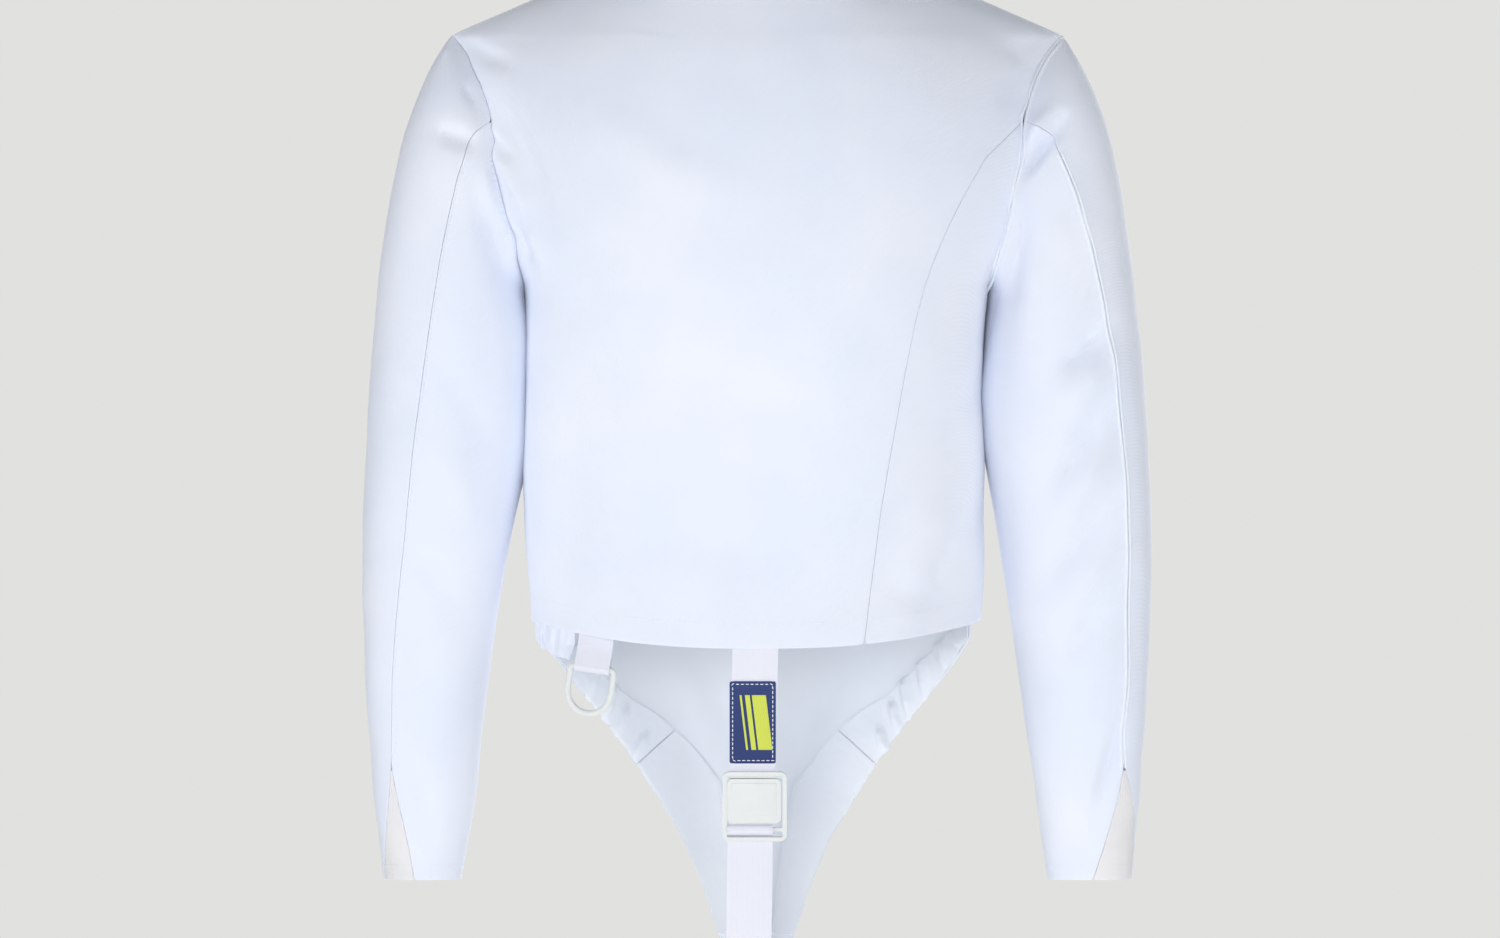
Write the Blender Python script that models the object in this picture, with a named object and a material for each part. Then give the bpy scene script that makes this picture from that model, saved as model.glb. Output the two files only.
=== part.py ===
"""Fencing jacket, worn and empty: cloth walls cut as the real panels, straps, buckle, D-ring and zip.

Metres, +Z up. The wearer faces -Y and the wearer's left is +X. The origin lies between the shoulder
tips, where the shoulders carry the jacket. Tables and sizes are written in millimetres times MM.
"""

import math

import bmesh
import bpy
import numpy as np
from mathutils import Matrix, Vector

MM = 0.001

# ---- driving sizes ------------------------------------------------------------------------------
CLOTH = 2.0 * MM  # two layers of tight cotton and polyester twill, stitched together
BAND_CLOTH = 1.2 * MM
WEBBING = 1.5 * MM
LABEL_CLOTH = 0.6 * MM
SEAM_GAP = 0.3 * MM
LIE_GAP = 0.35 * MM  # between a panel and what is sewn on it
TAPE_GAP = 0.5 * MM
TAPE_CLOTH = 1.0 * MM

SHOULDER_TIP_Z = 0.0
NECK_Z = 63 * MM
NECK_HALF = 84 * MM
SHOULDER_HALF = 229 * MM
UNDERARM_Z, UNDERARM_X = -190 * MM, 174 * MM
ARMHOLE_HALF_DEPTH = 58 * MM
SIDE_HEM_Z = -441 * MM
BACK_HEM_Z = -461 * MM
HEM_BENDS_FROM_Z = -400 * MM
FRONT_NECK_DROP = 62 * MM
NECK_DROP_FROM_Z = -110 * MM
COLLAR_HEIGHT = 50 * MM
COLLAR_LEAN = 0.94  # the collar's top ring against its base ring

ZIP_OPENING = 7 * MM  # between the two front edges, where the teeth show
ZIP_TAPE_REACH = 12 * MM  # from the zip's line to each edge of its tape
GATHERED_BAND = 32 * MM  # level width of the casing on the flap's edges
FLAT_BAND = 46 * MM
BAND_SHARE = 0.6  # of the flap's half width, where it is narrow

ARM_STEPS = 10  # steps along half an armhole
STRAP_WIDTH = 34 * MM


def table(columns, *rows):
    """Rows under named columns, as {column: values}; lengths are in mm and angles end in _deg."""
    named = {}
    for name, values in zip(columns.split(), zip(*rows)):
        named[name] = np.array(values, float) * (1.0 if name.endswith("_deg") else MM)
    return named


def read(rows, column, key, at):
    """A smooth value of one column where the key column has the value given."""
    keys, values = rows[key], rows[column]
    if keys[0] > keys[-1]:
        keys, values = keys[::-1], values[::-1]
    slopes = np.gradient(values, keys)
    at = min(max(at, keys[0]), keys[-1])
    k = int(np.clip(np.searchsorted(keys, at) - 1, 0, len(keys) - 2))
    step = keys[k + 1] - keys[k]
    t = (at - keys[k]) / step
    start = (2 * t**3 - 3 * t**2 + 1) * values[k] + (t**3 - 2 * t**2 + t) * step * slopes[k]
    end = (3 * t**2 - 2 * t**3) * values[k + 1] + (t**3 - t**2) * step * slopes[k + 1]
    return float(start + end)


# How deep the body stands behind and before the side seams.
PROFILE = table(
    "z back front",
    (63, 62, 60),
    (30, 82, 81),
    (0, 96, 98),
    (-60, 114, 119),
    (-120, 123, 132),
    (-190, 124, 137),
    (-260, 117, 134),
    (-330, 106, 128),
    (-400, 98, 123),
    (-461, 100, 120),
    (-545, 100, 108),
    (-590, 100, 95),
    (-640, 100, 77),
    (-680, 100, 59),
    (-712, 100, 42),
)
# The armhole's outline from behind, and how wide the body's rings would be there with no armhole.
ARMHOLE = table(
    "z x",
    (0, 229),
    (-18, 217),
    (-39, 208),
    (-66, 201),
    (-95, 196.5),
    (-124, 190.5),
    (-151, 184.5),
    (-190, 174),
)
RINGS = table(
    "z x",
    (0, 229),
    (-20, 230),
    (-66, 223),
    (-95, 215),
    (-124, 204),
    (-151, 193),
    (-172, 183),
    (-190, 174),
    (-215, 172),
    (-250, 170.5),
    (-300, 171),
    (-335, 172.5),
    (-380, 172),
    (-441, 169.5),
)
# How a ring closes at its sides: a low power is boxy, a high one comes to an edge, as at the shoulder seam.
ROUNDING = table(
    "z power_deg",
    (63, 1.0),
    (30, 1.6),
    (0, 1.9),
    (-40, 1.45),
    (-95, 1.05),
    (-150, 0.88),
    (-190, 0.8),
    (-330, 0.87),
    (-461, 0.87),
)
FLAP_EDGE = table(
    "z x",
    (-441, 169.5),
    (-464, 157),
    (-490, 138.5),
    (-515, 117.5),
    (-550, 91),
    (-581, 72),
    (-622, 49),
    (-665, 34),
    (-712, 17.5),
)
# The one shaped seam of the back, on the wearer's right, from the armhole to the hem.
PRINCESS = table(
    "z x", (-66, 201), (-91, 174), (-112, 161), (-148, 142.5), (-195, 124), (-262, 110), (-347, 94.5), (-461, 80)
)
ZIP_LINE = table("z x", (63, 42), (0, 58), (-95, 80), (-190, 100), (-300, 124), (-400, 152), (-441, 163))
# Sections of each sleeve, from the armhole to the cuff. out and in are its outline seen from behind,
# y its middle and deep its half depth. seam is where the elbow seam lies, as an angle from the outer
# side towards the back, and lip the other side of the vent, which opens over the last sections.
SLEEVES = {
    "left": table(
        "row_deg z_out x_out z_in x_in y deep seam_deg lip_deg",
        (0, 0, 229, -190, 174, 0, 58, 72, 72),
        (1, -22, 245, -200, 174.5, 0, 60, 77, 77),
        (2, -80, 268.5, -220, 174.5, -2, 62.5, 80, 80),
        (3, -178, 285, -255, 174, -6, 63, 78, 78),
        (4, -292, 294, -313, 176.5, -10, 61, 72, 72),
        (5, -395, 298, -395, 189.5, -17, 55.5, 68, 68),
        (6, -485, 296, -485, 201.5, -27, 48.5, 60, 60),
        (7, -546, 291.5, -546, 208.5, -34, 43, 55, 55),
        (8, -592, 287.5, -592, 214, -39.5, 39, 42, 67),
        (9, -637, 282, -637, 223.5, -45, 34, 12, 82),
    ),
    "right": table(
        "row_deg z_out x_out z_in x_in y deep seam_deg lip_deg",
        (0, 0, 229, -190, 174, 0, 58, 72, 72),
        (1, -22, 246, -200, 174.5, 0, 60, 71, 71),
        (2, -80, 268, -220, 174.5, -2, 62.5, 68, 68),
        (3, -178, 284, -255, 173.5, -6, 63, 59, 59),
        (4, -292, 295, -313, 175, -10, 61, 50, 50),
        (5, -395, 298, -395, 184.5, -17, 55.5, 49, 49),
        (6, -485, 295.5, -485, 196.5, -27, 48.5, 49, 49),
        (7, -546, 291, -546, 206.5, -34, 43, 50, 50),
        (8, -592, 288, -592, 212.5, -39.5, 39, 22, 65),
        (9, -637, 283.5, -637, 220, -45, 34, 11, 88),
    ),
}
SLEEVE_RINGS = (0, 0.5, 1, 1.5, 2, 2.5, 3, 3.5, 4, 4.5, 5, 5.5, 6, 6.5, 7, 7.15, 7.6, 8, 8.5, 9)
VENT_RING = 7  # the elbow seam ends and the vent begins
GUSSET_RING = 7.15
FRONT_SEAM_DEG = 252  # the sleeve's other seam, towards the front and inside
# Soft folds pressed into the sleeves: ring number, angle, half height in rings, half width, depth.
SLEEVE_FOLDS = {
    "left": table("ring_deg at_deg tall_deg wide_deg deep", (1.2, 150, 0.5, 50, -5), (2.0, 80, 0.35, 26, -4)),
    "right": table(
        "ring_deg at_deg tall_deg wide_deg deep",
        (1.6, 105, 0.35, 40, -5),
        (3.9, 75, 0.3, 34, -4),
        (4.9, 80, 0.3, 34, -3.5),
        (5.6, 60, 0.3, 30, -3),
    ),
}
RING_SHAPE = 0.9  # power on sine and cosine: a sleeve is a little squarer than an ellipse
BODY_SHAPE = 0.87
SMOOTH_HEIGHT = 30 * MM
SMOOTH_NEAR_EDGE = 30 * MM


# ---- the garment as one surface -------------------------------------------------------------------
def shoulder_z(x):
    """The height of the shoulder seam at x."""
    share = (abs(x) - NECK_HALF) / (SHOULDER_HALF - NECK_HALF)
    return NECK_Z + max(0.0, share) * (SHOULDER_TIP_Z - NECK_Z)


def ring_half(z):
    if z >= SHOULDER_TIP_Z:
        share = (z - SHOULDER_TIP_Z) / (NECK_Z - SHOULDER_TIP_Z)
        return SHOULDER_HALF + share * (NECK_HALF - SHOULDER_HALF)
    return read(RINGS, "x", "z", z)


def plain_depth(z, x, face):
    """How far the body stands behind (face 1) or before (face -1) the side seams, ring by ring."""
    sine = min(abs(x) / ring_half(z), 1.0) ** (1 / BODY_SHAPE)
    cosine = math.sqrt(max(0.0, 1 - sine * sine))
    power = read(ROUNDING, "power_deg", "z", z)
    return read(PROFILE, "back" if face > 0 else "front", "z", z) * cosine**power


def body_point(z, turn, face):
    """A point of the body: turn runs from -90 (wearer's right) to 90, face is 1 behind, -1 in front."""
    half = ring_half(z)
    out = abs(math.sin(math.radians(turn))) ** BODY_SHAPE
    x = math.copysign(half * out, turn)
    # Rings are averaged over some height, less and less towards the seams, so that no line shows.
    reach = SMOOTH_HEIGHT * min(1.0, (half - abs(x)) / SMOOTH_NEAR_EDGE)
    reach = max(0.0, min(reach, shoulder_z(x) - z, z - BACK_HEM_Z))
    depth = sum(plain_depth(z + reach * k / 3, x, face) for k in range(-3, 4)) / 7
    y = face * depth
    if face > 0 and z < HEM_BENDS_FROM_Z:
        hem = SIDE_HEM_Z + (BACK_HEM_Z - SIDE_HEM_Z) * (1 - out**2.5)
        share = (z - HEM_BENDS_FROM_Z) / (BACK_HEM_Z - HEM_BENDS_FROM_Z)
        z = HEM_BENDS_FROM_Z + share * (hem - HEM_BENDS_FROM_Z)
    if face < 0 and z > NECK_DROP_FROM_Z:
        share = (z - NECK_DROP_FROM_Z) / (NECK_Z - NECK_DROP_FROM_Z)
        z -= FRONT_NECK_DROP * share**2 * (depth / read(PROFILE, "front", "z", z)) ** 1.5
    return np.array([x, y, z])


def turn_at(z, x):
    """The turn at which a row of the body reaches x."""
    share = min(abs(x) / ring_half(z), 1.0)
    return math.copysign(math.degrees(math.asin(share ** (1 / BODY_SHAPE))), x)


def edge_turn(z):
    """The turn at which a row of the body ends: at the shoulder seam, the armhole or the side seam."""
    if UNDERARM_Z < z < SHOULDER_TIP_Z:
        return turn_at(z, read(ARMHOLE, "x", "z", z))
    return 90.0


def armhole_point(angle):
    """The wearer's left armhole: angle 0 is the shoulder tip, 90 the back and 180 the underarm."""
    z = UNDERARM_Z / 2 * (1 - math.cos(math.radians(angle)))
    if abs(z) < 1e-9 or abs(z - UNDERARM_Z) < 1e-9:
        z = round(z, 6)
    return body_point(z, edge_turn(z), 1 if angle % 360 <= 180 else -1)


def turn_inset(z, turn, face, distance):
    """How many degrees a distance along the cloth is, from that turn inwards."""
    inner = turn - math.copysign(2.0, turn)
    step = np.linalg.norm(body_point(z, turn, face) - body_point(z, inner, face))
    return 2.0 * distance / step


ARM_ANGLES = [180.0 * k / ARM_STEPS for k in range(ARM_STEPS + 1)]
ARM_Z = [UNDERARM_Z / 2 * (1 - math.cos(math.radians(angle))) for angle in ARM_ANGLES]
PRINCESS_FROM = 4  # the step along the armhole where the princess seam starts
SHOULDER_Z = [NECK_Z * (1 - k / 4) for k in range(4)]
SIDE_Z = [z * MM for z in (-215, -245, -280, -320, -360, -400)]
BACK_Z = [*SHOULDER_Z, *ARM_Z, *SIDE_Z, -430.5 * MM, BACK_HEM_Z]
SIDE_END_Z = [body_point(z, 90.0, 1)[2] for z in BACK_Z[-2:]]
FLAP_Z = [z * MM for z in (-455, -470, -490, -515, -545, -575, -610, -645, -680, -712)]
FRONT_Z = [*SHOULDER_Z, *ARM_Z, *SIDE_Z, *SIDE_END_Z]


def even(start, end, steps):
    return list(np.linspace(start, end, steps + 1))


def princess_turn(z):
    return turn_at(z, -read(PRINCESS, "x", "z", z))


def zip_turn(z):
    return turn_at(z, -read(ZIP_LINE, "x", "z", z))


def back_grid():
    rows = []
    for k, z in enumerate(BACK_Z):
        right = -edge_turn(z) if k <= len(SHOULDER_Z) + PRINCESS_FROM else princess_turn(z)
        rows.append([body_point(z, turn, 1) for turn in even(edge_turn(z), right, 16)])
    return np.array(rows)


def side_back_grid():
    rows = []
    for k, z in enumerate(BACK_Z[len(SHOULDER_Z) + PRINCESS_FROM :]):
        left = -edge_turn(z) if k == 0 else princess_turn(z)
        rows.append([body_point(z, turn, 1) for turn in even(left, -edge_turn(z), 5)])
    return np.array(rows)


def front_side_grid():
    rows = []
    for z in FRONT_Z:
        line = zip_turn(z)
        inset = turn_inset(z, line, -1, ZIP_TAPE_REACH)
        rows.append([body_point(z, turn, -1) for turn in [*even(-edge_turn(z), line - inset, 4), line]])
    return np.array(rows)


def front_grid():
    """The main front, from the zip round to the wearer's left, with the flap that runs to the straps."""
    rows = []
    for z in [*FRONT_Z, *FLAP_Z]:
        if z in FRONT_Z[:-1]:
            right, left = zip_turn(z), edge_turn(z)
            inset, left_inset = turn_inset(z, right, -1, ZIP_TAPE_REACH), 9.0
        else:
            half = read(FLAP_EDGE, "x", "z", z)
            left = turn_at(SIDE_HEM_Z, half)
            right = -left if z < SIDE_HEM_Z - 1 * MM else zip_turn(z)
            band = GATHERED_BAND if z > -546 * MM else FLAT_BAND
            inset = left_inset = turn_inset(SIDE_HEM_Z, left, -1, min(band, BAND_SHARE * half))
        turns = [right, *even(right + inset, left - left_inset, 12), left]
        rows.append([body_point(z, turn, -1) for turn in turns])
    return np.array(rows)


def collar_grid(base):
    """Rows from the collar's top edge down to the neck seam, whose points are given."""
    rows = []
    for share in (1.0, 0.5, 0.0):
        lean = 1 - (1 - COLLAR_LEAN) * share**1.5
        rows.append(base * np.array([lean, lean, 1]) + np.array([0, 0, COLLAR_HEIGHT * share]))
    return np.array(rows)


def sleeve_point(side, ring, angle):
    """A point of a sleeve: ring 0 is the armhole; angle 0 is the outer side and 90 the back."""
    rows = SLEEVES[side]
    mirror = 1 if side == "left" else -1
    at = {c: read(rows, c, "row_deg", ring) for c in rows if c != "row_deg"}
    cosine, sine = math.cos(math.radians(angle)), math.sin(math.radians(angle))
    across = math.copysign(abs(cosine) ** RING_SHAPE, cosine)
    deep = math.copysign(abs(sine) ** RING_SHAPE, sine)
    x = (at["x_out"] + at["x_in"]) / 2 + (at["x_out"] - at["x_in"]) / 2 * across
    z = (at["z_out"] + at["z_in"]) / 2 + (at["z_out"] - at["z_in"]) / 2 * across
    point = np.array([x, at["y"] + at["deep"] * deep, z])
    if ring == 0:
        point = armhole_point(angle)
    else:
        middle_x, half_x = (SHOULDER_HALF + UNDERARM_X) / 2, (SHOULDER_HALF - UNDERARM_X) / 2
        plain = np.array([middle_x + half_x * across, ARMHOLE_HALF_DEPTH * deep, UNDERARM_Z / 2 * (1 - across)])
        point = point + (armhole_point(angle) - plain) * math.exp(-1.6 * ring)
        middle = np.array([(at["x_out"] + at["x_in"]) / 2, at["y"], (at["z_out"] + at["z_in"]) / 2])
        outward = (point - middle) / np.linalg.norm(point - middle)
        folds = SLEEVE_FOLDS[side]
        for k in range(len(folds["deep"])):
            up = (ring - folds["ring_deg"][k]) / folds["tall_deg"][k]
            round_it = ((angle - folds["at_deg"][k] + 180) % 360 - 180) / folds["wide_deg"][k]
            point = point + outward * folds["deep"][k] * math.exp(-(up**2) - round_it**2)
    return point * np.array([mirror, 1, 1])


def sleeve_grid(side, part):
    """top goes from the front seam over the outer side to the elbow seam, under the rest of the way round."""
    rows = []
    for ring in SLEEVE_RINGS:
        seam = read(SLEEVES[side], "seam_deg", "row_deg", ring)
        lip = read(SLEEVES[side], "lip_deg", "row_deg", ring)
        if part == "top":
            angles = [*even(FRONT_SEAM_DEG - 360, 0, 6), *even(0, seam, 4)[1:]]
        elif part == "under":
            angles = [*even(lip if ring > VENT_RING else seam, 180, 6), *even(180, FRONT_SEAM_DEG, 4)[1:]]
        else:
            angles = even(seam, lip, 4)
        if part != "gusset" or ring >= GUSSET_RING:
            rows.append([sleeve_point(side, ring, angle) for angle in angles])
    grid = np.array(rows)
    return grid if side == "left" else grid[:, ::-1]


def all_skins():
    """Every panel's outer surface, as a grid of points: rows run down, columns run from left to back to right."""
    back, front, front_side = back_grid(), front_grid(), front_side_grid()
    neck = np.concatenate([front[0], back[0][1:], front_side[0][1:]])
    skins = {
        "back_panel": back,
        "side_back_panel": side_back_grid(),
        "front_panel": front,
        "front_side_panel": front_side,
        "collar": collar_grid(neck),
    }
    for side in ("left", "right"):
        skins["sleeve_top_" + side] = sleeve_grid(side, "top")
        skins["sleeve_under_" + side] = sleeve_grid(side, "under")
        skins["cuff_gusset_" + side] = sleeve_grid(side, "gusset")
    return skins


def key_of(point):
    return tuple(np.round(point / (0.01 * MM)).astype(int))


def shared_normals(skins):
    """A normal for each grid point, the mean of all the panels that meet there, so that walls mitre."""
    total = {}
    for grid in skins.values():
        for i in range(grid.shape[0] - 1):
            for j in range(grid.shape[1] - 1):
                corners = grid[i, j], grid[i + 1, j], grid[i + 1, j + 1], grid[i, j + 1]
                normal = np.cross(corners[2] - corners[0], corners[3] - corners[1])
                for corner in corners:
                    total[key_of(corner)] = total.get(key_of(corner), 0) + normal
    found = {}
    for name, grid in skins.items():
        normals = np.array([[total[key_of(point)] for point in row] for row in grid])
        found[name] = normals / np.linalg.norm(normals, axis=2, keepdims=True)
    return found


# ---- making solids --------------------------------------------------------------------------------
def new_material(name, colour, roughness):
    material = bpy.data.materials.new(name)
    material.use_nodes = True
    shader = material.node_tree.nodes["Principled BSDF"]
    shader.inputs["Base Color"].default_value = (*colour, 1.0)
    shader.inputs["Roughness"].default_value = roughness
    return material


def is_point(line):
    return np.abs(line - line[0]).max() < 0.01 * MM


def pull_in(lines, amount):
    """Moves the first line of points towards the second by an amount, or by one for each point."""
    edge, beside = lines[0], lines[1]
    if is_point(edge):
        away = beside.mean(axis=0) - edge[0]
        lines[0] = edge + away / np.linalg.norm(away) * amount
        return
    along = np.gradient(edge, axis=0)
    along /= np.maximum(np.linalg.norm(along, axis=1, keepdims=True), 1e-9)
    along[[0, -1]] = 0  # the ends move along the seam that they share with the next panel
    away = beside - edge
    away -= (away * along).sum(axis=1, keepdims=True) * along
    length = np.linalg.norm(away, axis=1, keepdims=True)
    amounts = np.broadcast_to(np.asarray(amount, float).reshape(-1, 1), length.shape).copy()
    amounts[length < 0.05 * MM] = 0
    lines[0] = edge + away / np.maximum(length, 1e-9) * amounts


def trimmed(grid, edges):
    """A copy of a grid with its edges drawn in: {"top": amount, "bottom": ..., "first": ..., "last": ...}."""
    grid = grid.copy()
    columns = grid.transpose(1, 0, 2)
    for name, lines in (("first", columns), ("last", columns[::-1])):
        if name in edges:
            kept = [lines[0][0].copy(), lines[0][-1].copy()]
            collapsed = is_point(grid[0]), is_point(grid[-1])
            pull_in(lines, edges[name])
            if collapsed[0]:
                lines[0][0] = kept[0]
            if collapsed[1]:
                lines[0][-1] = kept[1]
    for name, lines in (("top", grid), ("bottom", grid[::-1])):
        if name in edges:
            pull_in(lines, edges[name])
    return grid


def solid_between(name, outer, inner, material, collection):
    """One closed wall from two grids of points, an outer and an inner one."""
    model = bmesh.new()
    found = {}

    def vertex(point):
        key = tuple(np.round(point / (0.001 * MM)).astype(int))
        if key not in found:
            found[key] = model.verts.new(point)
        return found[key]

    def face(*points):
        corners = []
        for point in points:
            corner = vertex(point)
            if corner not in corners:
                corners.append(corner)
        if len(corners) == 3:
            model.faces.new(corners)

    def quad(a, b, c, d):
        face(a, b, c)
        face(a, c, d)

    rows, columns = outer.shape[:2]
    for i in range(rows - 1):
        for j in range(columns - 1):
            quad(outer[i, j], outer[i + 1, j], outer[i + 1, j + 1], outer[i, j + 1])
            quad(inner[i, j], inner[i + 1, j], inner[i + 1, j + 1], inner[i, j + 1])
    for i in (0, rows - 1):
        if not is_point(outer[i]):
            for j in range(columns - 1):
                quad(outer[i, j], outer[i, j + 1], inner[i, j + 1], inner[i, j])
    for j in (0, columns - 1):
        for i in range(rows - 1):
            quad(outer[i, j], outer[i + 1, j], inner[i + 1, j], inner[i, j])
    bmesh.ops.recalc_face_normals(model, faces=model.faces)
    mesh = bpy.data.meshes.new(name)
    model.to_mesh(mesh)
    model.free()
    return add_object(name, mesh, material, collection)


def add_object(name, mesh, material, collection):
    piece = bpy.data.objects.new(name, mesh)
    mesh.materials.append(material)
    collection.objects.link(piece)
    return piece


def smooth_line(points, steps):
    """Points along a smooth curve through the points given, which it goes through."""
    points = np.array(points, float)
    along = np.concatenate([[0], np.cumsum(np.linalg.norm(np.diff(points, axis=0), axis=1))])
    slopes = np.gradient(points, along, axis=0)
    line = []
    for at in np.linspace(0, along[-1], steps + 1):
        k = int(np.clip(np.searchsorted(along, at) - 1, 0, len(along) - 2))
        step = along[k + 1] - along[k]
        t = (at - along[k]) / step
        start = (2 * t**3 - 3 * t**2 + 1) * points[k] + (t**3 - 2 * t**2 + t) * step * slopes[k]
        end = (3 * t**2 - 2 * t**3) * points[k + 1] + (t**3 - t**2) * step * slopes[k + 1]
        line.append(start + end)
    return np.array(line)


def ribbon(name, line, width, thickness, material, collection):
    """A flat strap: the line is its middle, as rows of x, y and z, and its width lies along X."""
    run = np.gradient(line, axis=0)
    out = np.cross(run, np.array([1.0, 0, 0]))
    out /= np.linalg.norm(out, axis=1, keepdims=True)
    across = np.array([[-width / 2, 0, 0], [width / 2, 0, 0]])
    middle = line[:, None, :] + across[None, :, :]
    half = out[:, None, :] * thickness / 2
    return solid_between(name, middle + half, middle - half, material, collection)


def outline(points, name, thickness, material, collection, holes=()):
    """A flat plate in the XZ plane from closed outlines, thickness centred on it, as a mesh object."""
    curve = bpy.data.curves.new(name, "CURVE")
    curve.dimensions = "2D"
    curve.fill_mode = "BOTH"
    curve.extrude = thickness / 2
    for loop in (points, *holes):
        spline = curve.splines.new("POLY")
        spline.points.add(len(loop) - 1)
        for point, (x, z) in zip(spline.points, loop):
            point.co = (x, z, 0, 1)
        spline.use_cyclic_u = True
    drawn = bpy.data.objects.new(name, curve)
    collection.objects.link(drawn)
    bpy.context.view_layer.update()
    seen = drawn.evaluated_get(bpy.context.evaluated_depsgraph_get())
    mesh = bpy.data.meshes.new_from_object(seen)
    model = bmesh.new()
    model.from_mesh(mesh)
    bmesh.ops.remove_doubles(model, verts=model.verts, dist=0.00001)
    bmesh.ops.recalc_face_normals(model, faces=model.faces)
    model.to_mesh(mesh)
    model.free()
    bpy.data.objects.remove(drawn)
    mesh.transform(Matrix.Rotation(math.radians(90), 4, "X"))
    mesh.materials.clear()
    return add_object(name, mesh, material, collection)


def rounded(width, height, radius, steps=4):
    """The outline of a rectangle with round corners, centred on nothing, as (x, z) pairs."""
    points = []
    for corner in range(4):
        x = (width / 2 - radius) * (1 if corner in (0, 3) else -1)
        z = (height / 2 - radius) * (1 if corner in (0, 1) else -1)
        for k in range(steps + 1):
            angle = math.radians(90 * corner + 90 * k / steps)
            points.append((x + radius * math.cos(angle), z + radius * math.sin(angle)))
    return points


def shifted(points, x, z):
    return [(px + x, pz + z) for px, pz in points]


# ---- cloth ----------------------------------------------------------------------------------------
def build_cloth(collection, skins, normals, cloth, elastic):
    """The panels, 0.3 mm apart at their seams; the front edges stand back from the zip's teeth."""
    half = SEAM_GAP / 2
    all_round = {"top": half, "bottom": half, "first": half, "last": half}
    above_flap = len(FRONT_Z) - 1
    zip_side = np.full(len(FRONT_Z) + len(FLAP_Z), half)
    zip_side[:above_flap] = ZIP_OPENING / 2
    edges = {name: dict(all_round) for name in skins}
    edges["front_panel"]["first"] = zip_side
    edges["front_side_panel"]["last"] = ZIP_OPENING / 2
    edges["collar"]["first"] = edges["collar"]["last"] = ZIP_OPENING / 2
    for name, grid in skins.items():
        material = elastic if name.startswith("cuff") else cloth
        outer = trimmed(grid, edges[name])
        inner = trimmed(grid - normals[name] * CLOTH, edges[name])
        solid_between(name, outer, inner, material, collection)


def lying_under(grid, normals, start, thickness):
    """Two grids for a strip on a panel's inner face, from the panel's own points moved inwards."""
    return grid - normals * start, grid - normals * (start + thickness)


def build_bands(collection, skins, normals, cloth):
    """Casings on the flap's two edges: gathered on elastic above, flat below."""
    rows = len(FRONT_Z) - 1, len(FRONT_Z) + 4, len(FRONT_Z) + 8
    for side, columns in (("right", slice(0, 2)), ("left", slice(-2, None))):
        for kind, first, last in (("gathered", rows[0], rows[1]), ("flat", rows[1], rows[2])):
            part = skins["front_panel"][first : last + 1, columns]
            facing = normals["front_panel"][first : last + 1, columns]
            outer, inner = lying_under(part, facing, CLOTH + LIE_GAP, BAND_CLOTH)
            edges = {"top": 0.5 * MM, "bottom": 0.5 * MM, "first": 0.4 * MM, "last": 0.4 * MM}
            name = "leg_band_" + kind + "_" + side
            solid_between(name, trimmed(outer, edges), trimmed(inner, edges), cloth, collection)


def build_hem_gather(collection, skins, normals, cloth):
    """The gathered elastic strip that shows below the back hem at the wearer's left side."""
    columns = slice(0, 6)
    hem, above = skins["back_panel"][-1, columns], skins["back_panel"][-2, columns]
    facing = normals["back_panel"][-1, columns]
    upwards = (above - hem) / np.linalg.norm(above - hem, axis=1, keepdims=True)
    face = hem - facing * (CLOTH + LIE_GAP)
    drop = np.array([8, 15, 18, 20, 21, 21])[:, None] * MM
    fine = []
    for height in (9 * MM, 0.5 * MM, -0.5 * drop, -drop):
        row = face + upwards * height
        between = (row[1:] + row[:-1]) / 2
        row = np.concatenate([np.stack([row[:-1], between], axis=1).reshape(-1, 3), row[-1:]])
        fine.append(row)
    outer = np.array(fine)
    middle = np.array([0.0, -1.0, 0.0])
    pleats = (0.5 - 0.5 * np.cos(np.arange(outer.shape[1]) * math.pi))[None, :, None]
    depth = np.array([0.0, 0.2, 1.0, 0.8])[:, None, None]
    outer = outer + middle * pleats * depth * 2.5 * MM
    inner = outer + middle * BAND_CLOTH
    edges = {"first": 1.2 * MM, "last": 0.2 * MM}
    solid_between("hem_gather_left", trimmed(outer, edges), trimmed(inner, edges), cloth, collection)


def build_zip_tape(collection, skins, normals, tape):
    """The two tapes and the closed teeth as one strip, under both front edges and the collar's ends."""
    pieces = []
    for name, columns in (("front_side_panel", (-2, -1)), ("front_panel", (0, 1))):
        rows = slice(1, len(FRONT_Z) - 1)
        pieces.append((skins[name][rows][:, columns], normals[name][rows][:, columns]))
    collar = [(skins["collar"][:, columns], normals["collar"][:, columns]) for columns in ((-2, -1), (0, 1))]
    grids = [np.concatenate([top[0], rest[0]]) for top, rest in zip(collar, pieces)]
    facing = [np.concatenate([top[1], rest[1]]) for top, rest in zip(collar, pieces)]
    grid = np.concatenate([grids[0], grids[1][:, 1:]], axis=1)
    facing = np.concatenate([facing[0], facing[1][:, 1:]], axis=1)
    outer, inner = lying_under(grid, facing, CLOTH + TAPE_GAP, TAPE_CLOTH)
    edges = {"top": 2 * MM}
    solid_between("zip_tape", trimmed(outer, edges), trimmed(inner, edges), tape, collection)
    return grid[:, 1], facing[:, 1]


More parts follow.
